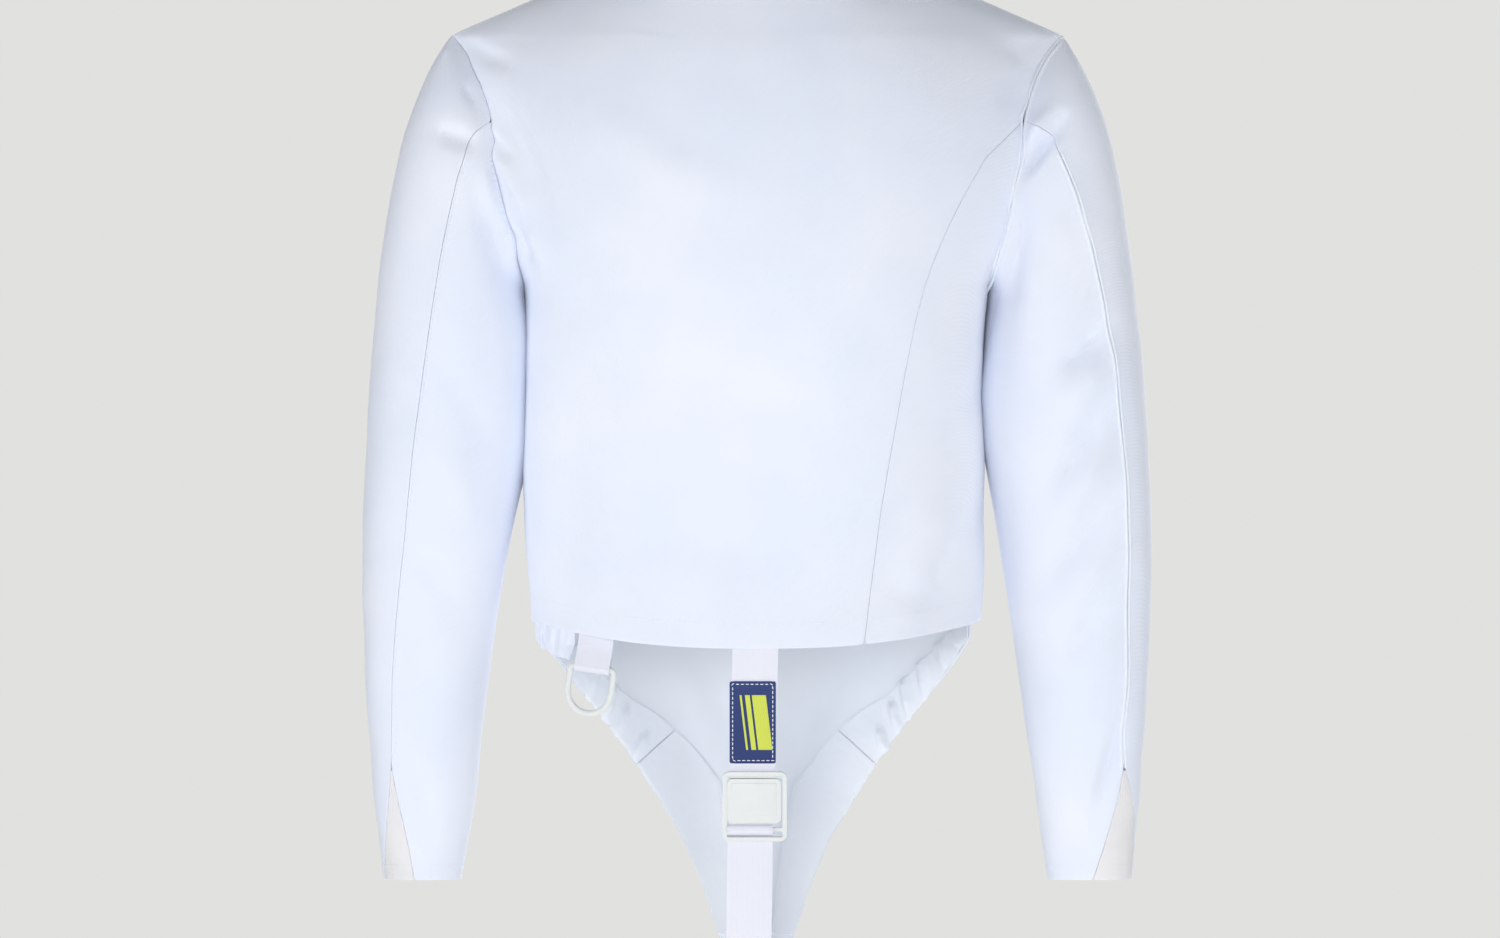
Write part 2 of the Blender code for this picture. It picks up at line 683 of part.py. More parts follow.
# ---- straps and buckle ----------------------------------------------------------------------------
STRAP_TILT_DEG = 11.0
BUCKLE_CENTRE = Vector((1.5 * MM, 70.5 * MM, -579 * MM))
BUCKLE_WIDTH, BUCKLE_HEIGHT = 48 * MM, 53 * MM
BUCKLE_BAR, BUCKLE_DEPTH = 3.2 * MM, 3.0 * MM
LEVER_WIDTH, LEVER_HEIGHT, LEVER_DEPTH = 40.2 * MM, 34 * MM, 2.6 * MM
LEVER_X = 0.4 * MM  # its pin side lies against the frame
LOOP_BAR_DOWN = 17.5 * MM  # from the buckle's middle to the bar that the lower strap goes round
LOOP_BAR_HALF = 1.2 * MM
LOOP_RADIUS = 3.0 * MM


def on_buckle(x, down, out):
    """A place on the buckle: x from its middle, down along the strap, out towards the back."""
    tilt = math.radians(STRAP_TILT_DEG)
    y = BUCKLE_CENTRE.y - down * math.sin(tilt) + out * math.cos(tilt)
    z = BUCKLE_CENTRE.z - down * math.cos(tilt) - out * math.sin(tilt)
    return np.array([BUCKLE_CENTRE.x + x, y, z])


def build_straps(collection, front, webbing):
    back_y = body_point(BACK_HEM_Z, 0.0, 1)[1] - CLOTH - 0.5 * MM - WEBBING / 2
    top_x, low_x = 1.1 * MM, 3.0 * MM
    behind = -BUCKLE_DEPTH / 2 - 0.4 * MM - WEBBING / 2
    entry, end = on_buckle(low_x - BUCKLE_CENTRE.x, -28 * MM, behind), on_buckle(low_x - BUCKLE_CENTRE.x, 6 * MM, behind)
    hem_up = body_point(-430.5 * MM, 0.0, 1)[1] - CLOTH - 0.5 * MM - WEBBING / 2
    path = [(top_x, hem_up, -440 * MM), (top_x, back_y - 1 * MM, -463 * MM), (2 * MM, 89 * MM, -505 * MM), entry, end]
    upper = smooth_line(path, 16)
    ribbon("crotch_strap_upper", upper, STRAP_WIDTH, WEBBING, webbing, collection)

    low = 5 * MM
    x = low - BUCKLE_CENTRE.x
    loop = []
    for k in range(8):
        angle = math.radians(-90 + 210 * k / 7)
        loop.append(on_buckle(x, LOOP_BAR_DOWN - LOOP_RADIUS * math.cos(angle), LOOP_RADIUS * math.sin(angle)))
    tail = [on_buckle(x, down * MM, out * MM) for down, out in ((36, -5.0), (24, -4.9), (19.5, -4.0))]
    leave = [on_buckle(x, down * MM, out * MM) for down, out in ((20.6, 1.2), (22.6, -2.6), (27, -2.75), (33, -2.65))]
    run = [(5.5, 51, -655), (6, 37, -695), (5, 21, -723), (3, 2, -736), (1, -18, -733.5), (0.5, -33, -721.5)]
    run = smooth_line([leave[-1], *(np.array(point) * MM for point in run), *flap_seat(front)], 26)
    path = np.array([*tail, *loop, *leave[:-1], *run])
    ribbon("crotch_strap_lower", path, STRAP_WIDTH, WEBBING, webbing, collection)
    return upper


def flap_seat(front):
    """Where the lower strap's end lies on the inner face of the flap's tip."""
    middle = front.shape[1] // 2
    tip, above = front[-1, middle], front[-2, middle]
    run = above - tip
    inward = np.array([0.0, run[2], -run[1]]) / np.linalg.norm(run[1:])
    off = CLOTH + 0.5 * MM + WEBBING / 2
    return [tip + run * share + inward * off for share in (0.04, 0.6)]


def build_label(collection, upper, label):
    """The woven label on the upper strap's outer face."""
    top, low = -487 * MM, -548.5 * MM
    z = upper[::-1, 2]
    rows = []
    for at in np.linspace(top, low, 7):
        rows.append([3.0 * MM, np.interp(at, z, upper[::-1, 1]), at])
    line = np.array(rows)
    run = np.gradient(line, axis=0)
    out = np.cross(run, np.array([1.0, 0, 0]))
    out /= np.linalg.norm(out, axis=1, keepdims=True)
    out *= np.where(out[:, 1:2] < 0, -1, 1)
    line += out * (WEBBING / 2 + LABEL_CLOTH / 2 + 0.45 * MM)
    ribbon("strap_label", line, 34.5 * MM, LABEL_CLOTH, label, collection)


def build_buckle(collection, plastic):
    """A moulded frame with a bar for each strap, and the lever that clamps the upper one."""
    window = BUCKLE_WIDTH - 2 * BUCKLE_BAR
    top = BUCKLE_HEIGHT / 2 - BUCKLE_BAR
    bar_top, bar_low = -LOOP_BAR_DOWN + LOOP_BAR_HALF, -LOOP_BAR_DOWN - LOOP_BAR_HALF
    holes = [
        shifted(rounded(window, top - bar_top, 1.5 * MM, 2), 0, (top + bar_top) / 2),
        shifted(rounded(window, bar_low + top, 1.0 * MM, 2), 0, (bar_low - top) / 2),
    ]
    frame = outline(rounded(BUCKLE_WIDTH, BUCKLE_HEIGHT, 5 * MM), "buckle_frame", BUCKLE_DEPTH, plastic, collection, holes)
    plate = outline(rounded(LEVER_WIDTH, LEVER_HEIGHT, 4 * MM), "buckle_lever", LEVER_DEPTH, plastic, collection)
    tilt = Matrix.Rotation(math.radians(-STRAP_TILT_DEG), 4, "X")
    frame.matrix_world = Matrix.Translation(BUCKLE_CENTRE) @ tilt
    seat = Vector(on_buckle(LEVER_X, -4.5 * MM, 0.9 * MM))
    plate.matrix_world = Matrix.Translation(seat) @ tilt


# ---- D-ring and its tab ---------------------------------------------------------------------------
RING_X, RING_BAR_Z = 122.5 * MM, -475.5 * MM
RING_YAW_DEG = -14.0  # about Z, so that it faces a little outwards like the hem it hangs from
RING_LEAN_DEG = -8.0  # in its own plane
RING_WIRE = 2.0 * MM
RING_HALF, RING_SIDE, RING_BOW = 17.0 * MM, 17.0 * MM, 17.5 * MM
RING_INSIDE = 7.25 * MM  # its bar lies this far inside the back panel, on its tab
TAB_WIDTH = 27 * MM


def ring_place():
    """Carries the ring's own frame to its place: x along the bar, z up, y out of the back."""
    y = body_point(BACK_HEM_Z, turn_at(BACK_HEM_Z, RING_X), 1)[1] - CLOTH - RING_INSIDE
    lean = Matrix.Rotation(math.radians(RING_LEAN_DEG), 4, "Y")
    return Matrix.Translation((RING_X, y, RING_BAR_Z)) @ Matrix.Rotation(math.radians(RING_YAW_DEG), 4, "Z") @ lean


def build_ring(collection, plastic, webbing):
    corner = 3 * MM
    points = []
    for side in (1, -1):
        steps = [math.radians(90 * k / 3) for k in range(4)]
        arc = [(RING_HALF - corner + corner * math.sin(a), -corner + corner * math.cos(a)) for a in steps]
        points += [(side * x, z) for x, z in (arc if side > 0 else arc[::-1])]
        if side > 0:
            for k in range(15):
                angle = math.pi * k / 14
                points.append((RING_HALF * math.cos(angle), -RING_SIDE - RING_BOW * math.sin(angle)))
    curve = bpy.data.curves.new("d_ring", "CURVE")
    curve.dimensions = "3D"
    curve.bevel_depth = RING_WIRE
    curve.bevel_resolution = 2
    spline = curve.splines.new("POLY")
    spline.points.add(len(points) - 1)
    for point, (x, z) in zip(spline.points, points):
        point.co = (x, 0, z, 1)
    spline.use_cyclic_u = True
    curve.materials.append(plastic)
    ring = bpy.data.objects.new("d_ring", curve)
    collection.objects.link(ring)
    ring.matrix_world = ring_place()

    loop = RING_WIRE + 0.5 * MM + WEBBING / 2
    up = 37 * MM
    path = [(0.0, 0.25 * MM + WEBBING / 2, up), (0.0, 0.3 * MM + WEBBING / 2, 12 * MM), (0.0, loop * 0.7, 5 * MM)]
    for k in range(9):
        angle = math.radians(30 - 240 * k / 8)
        path.append((0.0, loop * math.cos(angle), loop * math.sin(angle)))
    path += [(0.0, -y, z) for _, y, z in path[2::-1]]
    tab = ribbon("dring_tab", np.array(path), TAB_WIDTH, WEBBING, webbing, collection)
    tab.matrix_world = ring_place()


# ---- zip slider and pull --------------------------------------------------------------------------
SLIDER_WIDTH, SLIDER_LENGTH, SLIDER_DEPTH = 6.2 * MM, 11 * MM, 2.6 * MM
PULL_WIDTH, PULL_LENGTH, PULL_DEPTH = 7.5 * MM, 26 * MM, 1.1 * MM
PULL_BAR_HALF = 0.6 * MM  # the bar across the pull's eye, which turns under the bridge
EYE_WIDTH, EYE_LENGTH = 4.2 * MM, 4.8 * MM
HINGE_OUT = 1.05 * MM  # the bar's middle above the slider's face
BRIDGE_LENGTH, BRIDGE_HEIGHT, BRIDGE_WIDTH = 8.4 * MM, 4.2 * MM, 1.6 * MM


def build_slider(collection, line, facing, metal):
    """The slider near the collar's top with its bridge, and the pull that hangs from the bridge."""
    top, low = line[0], line[1]
    down = (low - top) / np.linalg.norm(low - top)
    out = (facing[0] + facing[1]) / 2
    out -= down * np.dot(out, down)
    out /= np.linalg.norm(out)
    across = np.cross(-down, -out)
    face = top + down * 11 * MM - out * (CLOTH + TAPE_GAP)
    place = Matrix.Identity(4)
    for column, axis in enumerate((across, out, -down)):
        for row in range(3):
            place[row][column] = axis[row]
    place.translation = Vector(face)
    base = 0.4 * MM
    body = [(-3.1, 5.5), (3.1, 5.5), (3.1, -1.5), (2.2, -5.5), (-2.2, -5.5), (-3.1, -1.5)]
    bridge_out = base + SLIDER_DEPTH

    model = bmesh.new()
    low_ring = [model.verts.new((x * MM, base, z * MM)) for x, z in body]
    top_ring = [model.verts.new((x * MM, bridge_out, z * MM)) for x, z in body]
    model.faces.new(low_ring)
    model.faces.new(top_ring)
    for k in range(6):
        model.faces.new((low_ring[k], low_ring[(k + 1) % 6], top_ring[(k + 1) % 6], top_ring[k]))
    bmesh.ops.recalc_face_normals(model, faces=model.faces)
    mesh = bpy.data.meshes.new("zip_slider")
    model.to_mesh(mesh)
    model.free()
    slider = add_object("zip_slider", mesh, metal, collection)

    arch = []
    for k in range(9):
        angle = math.pi * k / 8
        arch.append((BRIDGE_LENGTH / 2 * math.cos(angle), BRIDGE_HEIGHT * math.sin(angle)))
    inner = [(x * 0.62, y * 0.58) for x, y in arch]
    bridge = bmesh.new()
    walls = []
    for x in (-BRIDGE_WIDTH / 2, BRIDGE_WIDTH / 2):
        walls.append([bridge.verts.new((x, bridge_out - 0.3 * MM + y, z)) for z, y in [*arch, *inner[::-1]]])
    count = len(walls[0])
    bridge.faces.new(walls[0])
    bridge.faces.new(walls[1])
    for k in range(count):
        bridge.faces.new((walls[0][k], walls[0][(k + 1) % count], walls[1][(k + 1) % count], walls[1][k]))
    bmesh.ops.recalc_face_normals(bridge, faces=bridge.faces)
    bmesh.ops.triangulate(bridge, faces=bridge.faces)
    bridge_mesh = bpy.data.meshes.new("zip_bridge_tool")
    bridge.to_mesh(bridge_mesh)
    bridge.free()
    tools = bpy.data.collections.new("cutters")
    bpy.context.scene.collection.children.link(tools)
    tool = bpy.data.objects.new("zip_bridge_tool", bridge_mesh)
    tools.objects.link(tool)
    tool.hide_render = True
    tool.display_type = "WIRE"
    tool.matrix_world = slider.matrix_world = place
    joined = slider.modifiers.new("bridge", "BOOLEAN")
    joined.operation = "UNION"
    joined.object = tool

    eye = shifted(rounded(EYE_WIDTH, EYE_LENGTH, 1.2 * MM, 2), 0, -PULL_BAR_HALF - EYE_LENGTH / 2)
    plate = shifted(rounded(PULL_WIDTH, PULL_LENGTH, 2.6 * MM, 3), 0, PULL_BAR_HALF - PULL_LENGTH / 2)
    pull = outline(plate, "zip_pull", PULL_DEPTH, metal, collection, [eye])
    pull.matrix_world = place @ Matrix.Translation((0, bridge_out + HINGE_OUT, 0))


def main():
    for piece in list(bpy.data.objects):
        bpy.data.objects.remove(piece)
    collection = bpy.data.collections.new("fencing_jacket")
    bpy.context.scene.collection.children.link(collection)
    cloth = new_material("white_twill", (0.80, 0.83, 0.93), 0.8)
    elastic = new_material("elastic_rib", (0.74, 0.75, 0.76), 0.85)
    webbing = new_material("white_webbing", (0.82, 0.83, 0.90), 0.75)
    label = new_material("navy_label", (0.03, 0.05, 0.16), 0.7)
    plastic = new_material("white_plastic", (0.83, 0.85, 0.85), 0.4)
    metal = new_material("coated_zinc", (0.8, 0.8, 0.82), 0.4)

    skins = all_skins()
    normals = shared_normals(skins)
    build_cloth(collection, skins, normals, cloth, elastic)
    build_bands(collection, skins, normals, cloth)
    build_hem_gather(collection, skins, normals, cloth)
    line, facing = build_zip_tape(collection, skins, normals, webbing)
    upper = build_straps(collection, skins["front_panel"], webbing)
    build_label(collection, upper, label)
    build_buckle(collection, plastic)
    build_ring(collection, plastic, webbing)
    build_slider(collection, line, facing, metal)


main()
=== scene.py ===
"""Fencing jacket: white twill panels sewn into worn form, straps, buckle, D-ring and zip.

Metres, +Z up; the wearer faces -Y and the wearer's left is +X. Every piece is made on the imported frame.
"""

import math

import bpy
import numpy as np
from mathutils import Matrix, Vector, noise
from mathutils.bvhtree import BVHTree
from mathutils.kdtree import KDTree


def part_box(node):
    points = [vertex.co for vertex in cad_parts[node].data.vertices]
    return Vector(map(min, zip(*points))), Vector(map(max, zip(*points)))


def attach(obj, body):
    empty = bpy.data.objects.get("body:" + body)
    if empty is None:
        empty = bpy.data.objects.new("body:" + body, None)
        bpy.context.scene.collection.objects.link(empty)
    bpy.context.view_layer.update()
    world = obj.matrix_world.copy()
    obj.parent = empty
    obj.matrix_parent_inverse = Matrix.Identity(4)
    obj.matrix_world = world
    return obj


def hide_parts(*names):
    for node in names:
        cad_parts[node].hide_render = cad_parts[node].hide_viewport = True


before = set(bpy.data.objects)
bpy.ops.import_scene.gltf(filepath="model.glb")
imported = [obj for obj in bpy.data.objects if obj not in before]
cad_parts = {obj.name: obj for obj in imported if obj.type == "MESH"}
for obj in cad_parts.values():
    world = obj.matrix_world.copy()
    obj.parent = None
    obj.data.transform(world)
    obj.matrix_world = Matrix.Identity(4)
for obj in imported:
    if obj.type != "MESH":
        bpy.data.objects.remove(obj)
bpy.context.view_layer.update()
MM = 0.001


# ---- view, light and floor ---------------------------------------------------
# A level view of the jacket's back from far off, as a catalogue shows it. A large soft box stands near the
# line of view, weaker ones low, above and at both sides, one lights the front, and pale walls fill.
VIEW_HEIGHT, VIEW_ACROSS, VIEW_DISTANCE, VIEW_LENS = -0.327, 0.005, 9.405, 300.0
SOFT_BOXES = {
    # name: (place, aimed at, side in metres, power in watts)
    "key_box": ((0.8, 5.2, -0.35), (0.0, 0.0, -0.35), 1.7, 65.0),
    "low_box": ((-1.2, 3.4, -0.4), (0.0, 0.0, -0.6), 1.2, 16.0),
    "top_box": ((0.3, 1.9, 3.3), (0.0, 0.0, -0.2), 2.4, 20.0),
    "left_box": ((3.7, 2.0, 0.0), (0.0, 0.0, -0.35), 2.2, 43.0),
    "right_box": ((-3.7, 1.6, 0.0), (0.0, 0.0, -0.35), 2.2, 25.0),
    "front_box": ((-1.6, -4.4, 1.0), (0.0, 0.0, -0.3), 2.2, 150.0),
}
WALL_COLOUR, FLOOR_COLOUR = "#e1e1df", "#e4e4e2"
WALL_LIGHT, BOUNCED_LIGHT = 1.0, 0.2
FLOOR_HEIGHT, FLOOR_RADIUS, FLOOR_GLOW = -1.05, 4.0, 0.55  # the floor is a light table


def linear(code):
    """A colour for Blender from its sRGB hex code."""
    values = [int(code[k : k + 2], 16) / 255 for k in (1, 3, 5)]
    return [v / 12.92 if v <= 0.04045 else ((v + 0.055) / 1.055) ** 2.4 for v in values] + [1.0]


def set_inputs(node, inputs):
    """Sets each named input of a node to a value, or links it to a socket."""
    for name, value in inputs.items():
        if isinstance(value, bpy.types.NodeSocket):
            node.id_data.links.new(value, node.inputs[name])
        else:
            node.inputs[name].default_value = value


def add_node(tree, kind, inputs=None, **settings):
    """Adds a node, sets its properties, and sets or links its sockets."""
    added = tree.nodes.new(kind)
    for name, value in settings.items():
        setattr(added, name, value)
    set_inputs(added, inputs or {})
    return added


def new_material(name):
    """A material, its node tree, its shader, and the object coordinates its patterns are laid in."""
    material = bpy.data.materials.new(name)
    material.use_nodes = True
    tree = material.node_tree
    place = add_node(tree, "ShaderNodeTexCoord").outputs["Object"]
    return material, tree, tree.nodes["Principled BSDF"], place


def select_only(piece):
    bpy.ops.object.select_all(action="DESELECT")
    piece.select_set(True)
    bpy.context.view_layer.objects.active = piece


bpy.ops.object.camera_add(
    location=(VIEW_ACROSS, VIEW_DISTANCE, VIEW_HEIGHT), rotation=(math.pi / 2, 0, math.pi)
)
camera = bpy.context.object
camera.data.lens = VIEW_LENS
bpy.context.scene.camera = camera

for name, (place, target, side, power) in SOFT_BOXES.items():
    aim = (Vector(target) - Vector(place)).to_track_quat("-Z", "Y").to_euler()
    bpy.ops.object.light_add(type="AREA", location=place, rotation=aim)
    box = bpy.context.object
    box.name = name
    box.data.size = side
    box.data.energy = power
    box.visible_camera = False

world = bpy.data.worlds.new("pale_studio")
bpy.context.scene.world = world
world.use_nodes = True
seen = add_node(world.node_tree, "ShaderNodeLightPath").outputs["Is Camera Ray"]
strength = add_node(
    world.node_tree, "ShaderNodeMapRange", {"Value": seen, "To Min": BOUNCED_LIGHT, "To Max": WALL_LIGHT}
)
walls = world.node_tree.nodes["Background"]
set_inputs(walls, {"Color": linear(WALL_COLOUR), "Strength": strength.outputs["Result"]})
bpy.context.scene.view_settings.view_transform = "Standard"

bpy.ops.mesh.primitive_circle_add(
    vertices=96, radius=FLOOR_RADIUS, fill_type="NGON", location=(0, 0, FLOOR_HEIGHT)
)
floor = bpy.context.object
floor.name = "studio_floor"
floor_paint, _, shader, _ = new_material("matt_floor_paint")
set_inputs(shader, {"Base Color": linear(FLOOR_COLOUR), "Roughness": 0.9})
set_inputs(shader, {"Emission Color": linear(WALL_COLOUR), "Emission Strength": FLOOR_GLOW})
floor.data.materials.append(floor_paint)


# ---- white twill -------------------------------------------------------------
# Tightly woven cotton and polyester twill, bleached and optically brightened, so it is a cold white.
# Woven matt: the eye sees even white, faint slanting ribs and a slight bloom where it turns away.
TWILL_PITCH = 1.5 * MM  # real ribs lie 0.5 mm apart; drawn coarser so that they show at all
RIB_RELIEF, RIB_WAVER = 0.3 * MM, 0.6
SLUB_SIZE, SLUB_SHARE = 2.2 * MM, 0.6
TONE_SIZE, TONE_FROM, TONE_TO = 110 * MM, 0.35, 0.65
NO_TURN = (0.0, 0.0, 0.0)


def wave_scale(pitch):
    """The Scale of a Wave texture whose bands lie one pitch apart."""
    return 2 * math.pi / (20 * pitch)


def woven(name, light, dark, pitch, turn, rib, roughness=0.85, sheen=0.2, cross=None):
    """A matt woven cloth: slanted or straight ribs in the bump, slubs, and a slow change of tone."""
    cloth, tree, shader, place = new_material(name)
    turned = add_node(tree, "ShaderNodeMapping", {"Vector": place, "Rotation": turn}).outputs["Vector"]
    ribs = add_node(
        tree, "ShaderNodeTexWave", {"Vector": turned, "Scale": wave_scale(pitch), "Distortion": RIB_WAVER}
    )
    height = ribs.outputs["Fac"]
    if cross:
        over = add_node(
            tree, "ShaderNodeTexWave", {"Vector": turned, "Scale": wave_scale(cross)}, bands_direction="Z"
        )
        height = add_node(
            tree, "ShaderNodeMath", {0: height, 1: over.outputs["Fac"]}, operation="MULTIPLY"
        ).outputs[0]
    slubs = add_node(tree, "ShaderNodeTexNoise", {"Vector": place, "Scale": 1 / SLUB_SIZE, "Detail": 3.0})
    uneven = add_node(
        tree, "ShaderNodeMath", {0: slubs.outputs["Fac"], 1: SLUB_SHARE, 2: height}, operation="MULTIPLY_ADD"
    ).outputs[0]
    bump = add_node(tree, "ShaderNodeBump", {"Height": uneven, "Strength": rib, "Distance": RIB_RELIEF})
    tone = add_node(tree, "ShaderNodeTexNoise", {"Vector": place, "Scale": 1 / TONE_SIZE, "Detail": 2.0})
    ramp = add_node(tree, "ShaderNodeValToRGB", {"Fac": tone.outputs["Fac"]})
    first, last = ramp.color_ramp.elements
    first.position, last.position = TONE_FROM, TONE_TO
    first.color, last.color = linear(dark), linear(light)
    set_inputs(shader, {"Base Color": ramp.outputs["Color"], "Normal": bump.outputs["Normal"]})
    set_inputs(shader, {"Roughness": roughness, "Specular IOR Level": 0.25})
    set_inputs(shader, {"Sheen Weight": sheen, "Sheen Roughness": 0.5})
    return cloth


TWILL_TURN = (0.0, math.radians(38), math.radians(30))
twill = woven("bleached_twill", "#edf2ff", "#e7eefe", TWILL_PITCH, TWILL_TURN, 0.25)


# ---- panels ------------------------------------------------------------------
# The cut panels of body, collar and sleeves, two layers of twill sewn as one wall of 2 mm. They take
# the frame's form, are made fine enough to fold, and their sewn edges are turned over softly.
FINE_STEPS = 3
SEWN_EDGE_CREASE = 0.5
CREASE_ANGLE, QUAD_ANGLE = math.radians(50), math.radians(120)
SAME_PLACE = 0.02 * MM
CLOTH_ANGLE, ROUND_ANGLE, FIRM_ANGLE, HARD_ANGLE = 42, 60, 50, 35  # edges flatter than this look smooth


def new_piece(name, data):
    piece = bpy.data.objects.new(name, data)
    bpy.context.scene.collection.objects.link(piece)
    return piece


def finished(piece, material, node=None, body="jacket"):
    """Gives a piece its material and body, and hides the CAD node that it stands for, if any."""
    piece.data.materials.append(material)
    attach(piece, body)
    if node:
        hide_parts(node)


def copy_of_node(node, name):
    """A merged copy of a CAD node in quads, with its sharp edges selected so that a crease can keep them
    where they are.
    """
    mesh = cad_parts[node].data.copy()
    mesh.name = name
    piece = new_piece(name, mesh)
    select_only(piece)
    if mesh.has_custom_normals:
        bpy.ops.mesh.customdata_custom_splitnormals_clear()
    bpy.ops.object.mode_set(mode="EDIT")
    bpy.ops.mesh.select_all(action="SELECT")
    bpy.ops.mesh.remove_doubles(threshold=SAME_PLACE)
    bpy.ops.mesh.tris_convert_to_quads(face_threshold=CREASE_ANGLE, shape_threshold=QUAD_ANGLE)
    bpy.ops.mesh.select_all(action="DESELECT")
    bpy.ops.mesh.edges_select_sharp(sharpness=CREASE_ANGLE)
    bpy.ops.object.mode_set(mode="OBJECT")
    mesh.materials.clear()
    return piece


def apply_modifier(piece, kind, **settings):
    select_only(piece)
    modifier = piece.modifiers.new(kind.lower(), kind)
    for name, value in settings.items():
        setattr(modifier, name, value)
    bpy.ops.object.modifier_apply(modifier=modifier.name)


def smooth_shade(piece, degrees):
    select_only(piece)
    bpy.ops.object.shade_smooth_by_angle(angle=math.radians(degrees))


def finer(piece, steps, crease):
    """Smooths a copied piece into small faces, and keeps its sharp edges by a crease."""
    creases = piece.data.attributes.new("crease_edge", "FLOAT", "EDGE")
    creases.data.foreach_set("value", [crease if edge.select else 0.0 for edge in piece.data.edges])
    apply_modifier(piece, "SUBSURF", levels=steps, render_levels=steps)
    smooth_shade(piece, CLOTH_ANGLE)


def points_of(piece):
    values = np.empty(len(piece.data.vertices) * 3, np.float32)
    piece.data.vertices.foreach_get("co", values)
    return values.reshape(-1, 3).astype(float)


def set_points(piece, points):
    piece.data.vertices.foreach_set("co", points.astype(np.float32).ravel())
    piece.data.update()


TRUNK_PANELS = ["back_panel", "side_back_panel", "front_panel", "front_side_panel"]
BODY_PANELS = [*TRUNK_PANELS, "collar"]
SLEEVE_PANELS = {
    side: ["sleeve_top_" + side, "sleeve_under_" + side, "cuff_gusset_" + side] for side in ("left", "right")
}
shells = {}
for node in [*BODY_PANELS, *SLEEVE_PANELS["left"], *SLEEVE_PANELS["right"]]:
    shells[node] = copy_of_node(node, node + "_cloth")
    finer(shells[node], FINE_STEPS, SEWN_EDGE_CREASE)


# ---- creases and folds -------------------------------------------------------
# Worn twill drags from the armholes, breaks at the elbows and sags over the hips. Each line is a soft
# trough (depth below 0) or ridge in mm, with its half width, and its course as (x, z) in mm.
FOLDS = {}
FOLDS["body", "back"] = [
    (1.8, 12, [(172, -190), (174, -260), (174, -330), (174, -400)]),
    (2.0, 13, [(157, -200), (158, -300), (158, -420)]),
    (-3.0, 11, [(206, -42), (189, -69), (176, -92), (166, -114), (154, -145)]),
    (2.0, 8, [(199, -74), (187, -100), (175, -128), (167, -152)]),
    (-2.4, 7, [(224, -4), (204, -17), (186, -24)]),
    (-2.4, 4, [(201, -76), (193, -86), (184, -98)]),
    (-3.2, 5, [(184, -145), (176, -160), (167, -174)]),
    (1.6, 7, [(172, -146), (166, -160), (160, -180)]),
    (-1.6, 26, [(85, -262), (30, -276), (-60, -280)]),
    (-1.5, 22, [(80, -375), (30, -388), (-20, -384)]),
    (-1.8, 13, [(-214, -10), (-198, -40), (-192, -62)]),
    (-1.4, 9, [(-216, -3), (-200, -12), (-186, -14)]),
    (-3.4, 12, [(-172, -345), (-154, -380), (-142, -407), (-131, -442)]),
    (2.2, 14, [(-140, -345), (-120, -392), (-108, -432)]),
    (-1.8, 12, [(-168, -262), (-150, -290), (-140, -325)]),
    (-1.3, 10, [(-98, -415), (-118, -422), (-136, -418)]),
    (1.2, 18, [(120, -60), (70, -100), (20, -120)]),
    (-1.2, 16, [(150, -190), (120, -235), (100, -290)]),
    (1.0, 14, [(160, -260), (150, -330), (152, -400)]),
    (-1.0, 12, [(140, -280), (134, -350), (140, -420)]),
]
FOLDS["body", "front"] = [
    (1.8, 12, [(172, -190), (174, -260), (174, -330), (174, -400)]),
    (-3.2, 11, [(205, -45), (186, -74), (166, -104), (146, -150)]),
    (-2.2, 5, [(200, -80), (188, -96), (178, -118)]),
    (2.0, 9, [(196, -92), (176, -126), (160, -160)]),
    (-3.2, 11, [(-205, -45), (-186, -74), (-168, -100), (-150, -140)]),
    (2.0, 9, [(-196, -92), (-178, -122), (-164, -152)]),
    (-2.6, 6, [(-184, -148), (-176, -164), (-164, -184)]),
    (-2.2, 16, [(150, -300), (90, -330), (10, -335)]),
    (2.0, 15, [(150, -330), (80, -362), (-10, -366)]),
    (-2.4, 14, [(140, -380), (70, -402), (-30, -400)]),
    (-1.8, 18, [(-60, -130), (-20, -190), (0, -260)]),
    (1.6, 15, [(-90, -230), (-50, -290), (-30, -350)]),
    (-1.8, 12, [(-150, -330), (-128, -372), (-120, -420)]),
    (-1.6, 14, [(60, -470), (30, -540), (10, -610)]),
    (1.4, 12, [(-60, -480), (-34, -540), (-14, -600)]),
]
FOLDS["left", "back"] = [
    (3.2, 13, [(176, -165), (178, -240), (177, -318), (176, -386)]),
    (1.8, 12, [(189, -190), (190, -262), (189, -340), (192, -440)]),
    (-3.2, 7, [(240, -74), (224, -79), (207, -84)]),
    (-1.6, 4, [(219, -40), (214, -47), (210, -56)]),
    (1.6, 9, [(203, -98), (197, -122), (190, -140)]),
    (-2.4, 11, [(210, -118), (199, -150), (188, -182), (182, -212)]),
    (-1.4, 13, [(236, -250), (214, -285), (200, -320)]),
    (1.2, 12, [(250, -300), (225, -335), (208, -372)]),
    (-1.3, 12, [(262, -380), (238, -410), (214, -452)]),
    (-1.2, 9, [(262, -540), (250, -570), (246, -605)]),
]
FOLDS["left", "front"] = [
    (3.2, 13, [(176, -165), (178, -240), (177, -318), (176, -386)]),
    (-3.0, 9, [(205, -96), (226, -84), (246, -72)]),
    (-3.0, 9, [(196, -232), (228, -246), (262, -240)]),
    (2.2, 10, [(198, -262), (230, -276), (266, -270)]),
    (-3.2, 9, [(202, -300), (234, -312), (268, -300)]),
    (2.0, 10, [(206, -335), (238, -345), (270, -334)]),
    (-2.4, 9, [(212, -376), (240, -384), (270, -370)]),
    (-2.0, 9, [(250, -520), (262, -560), (266, -600)]),
]
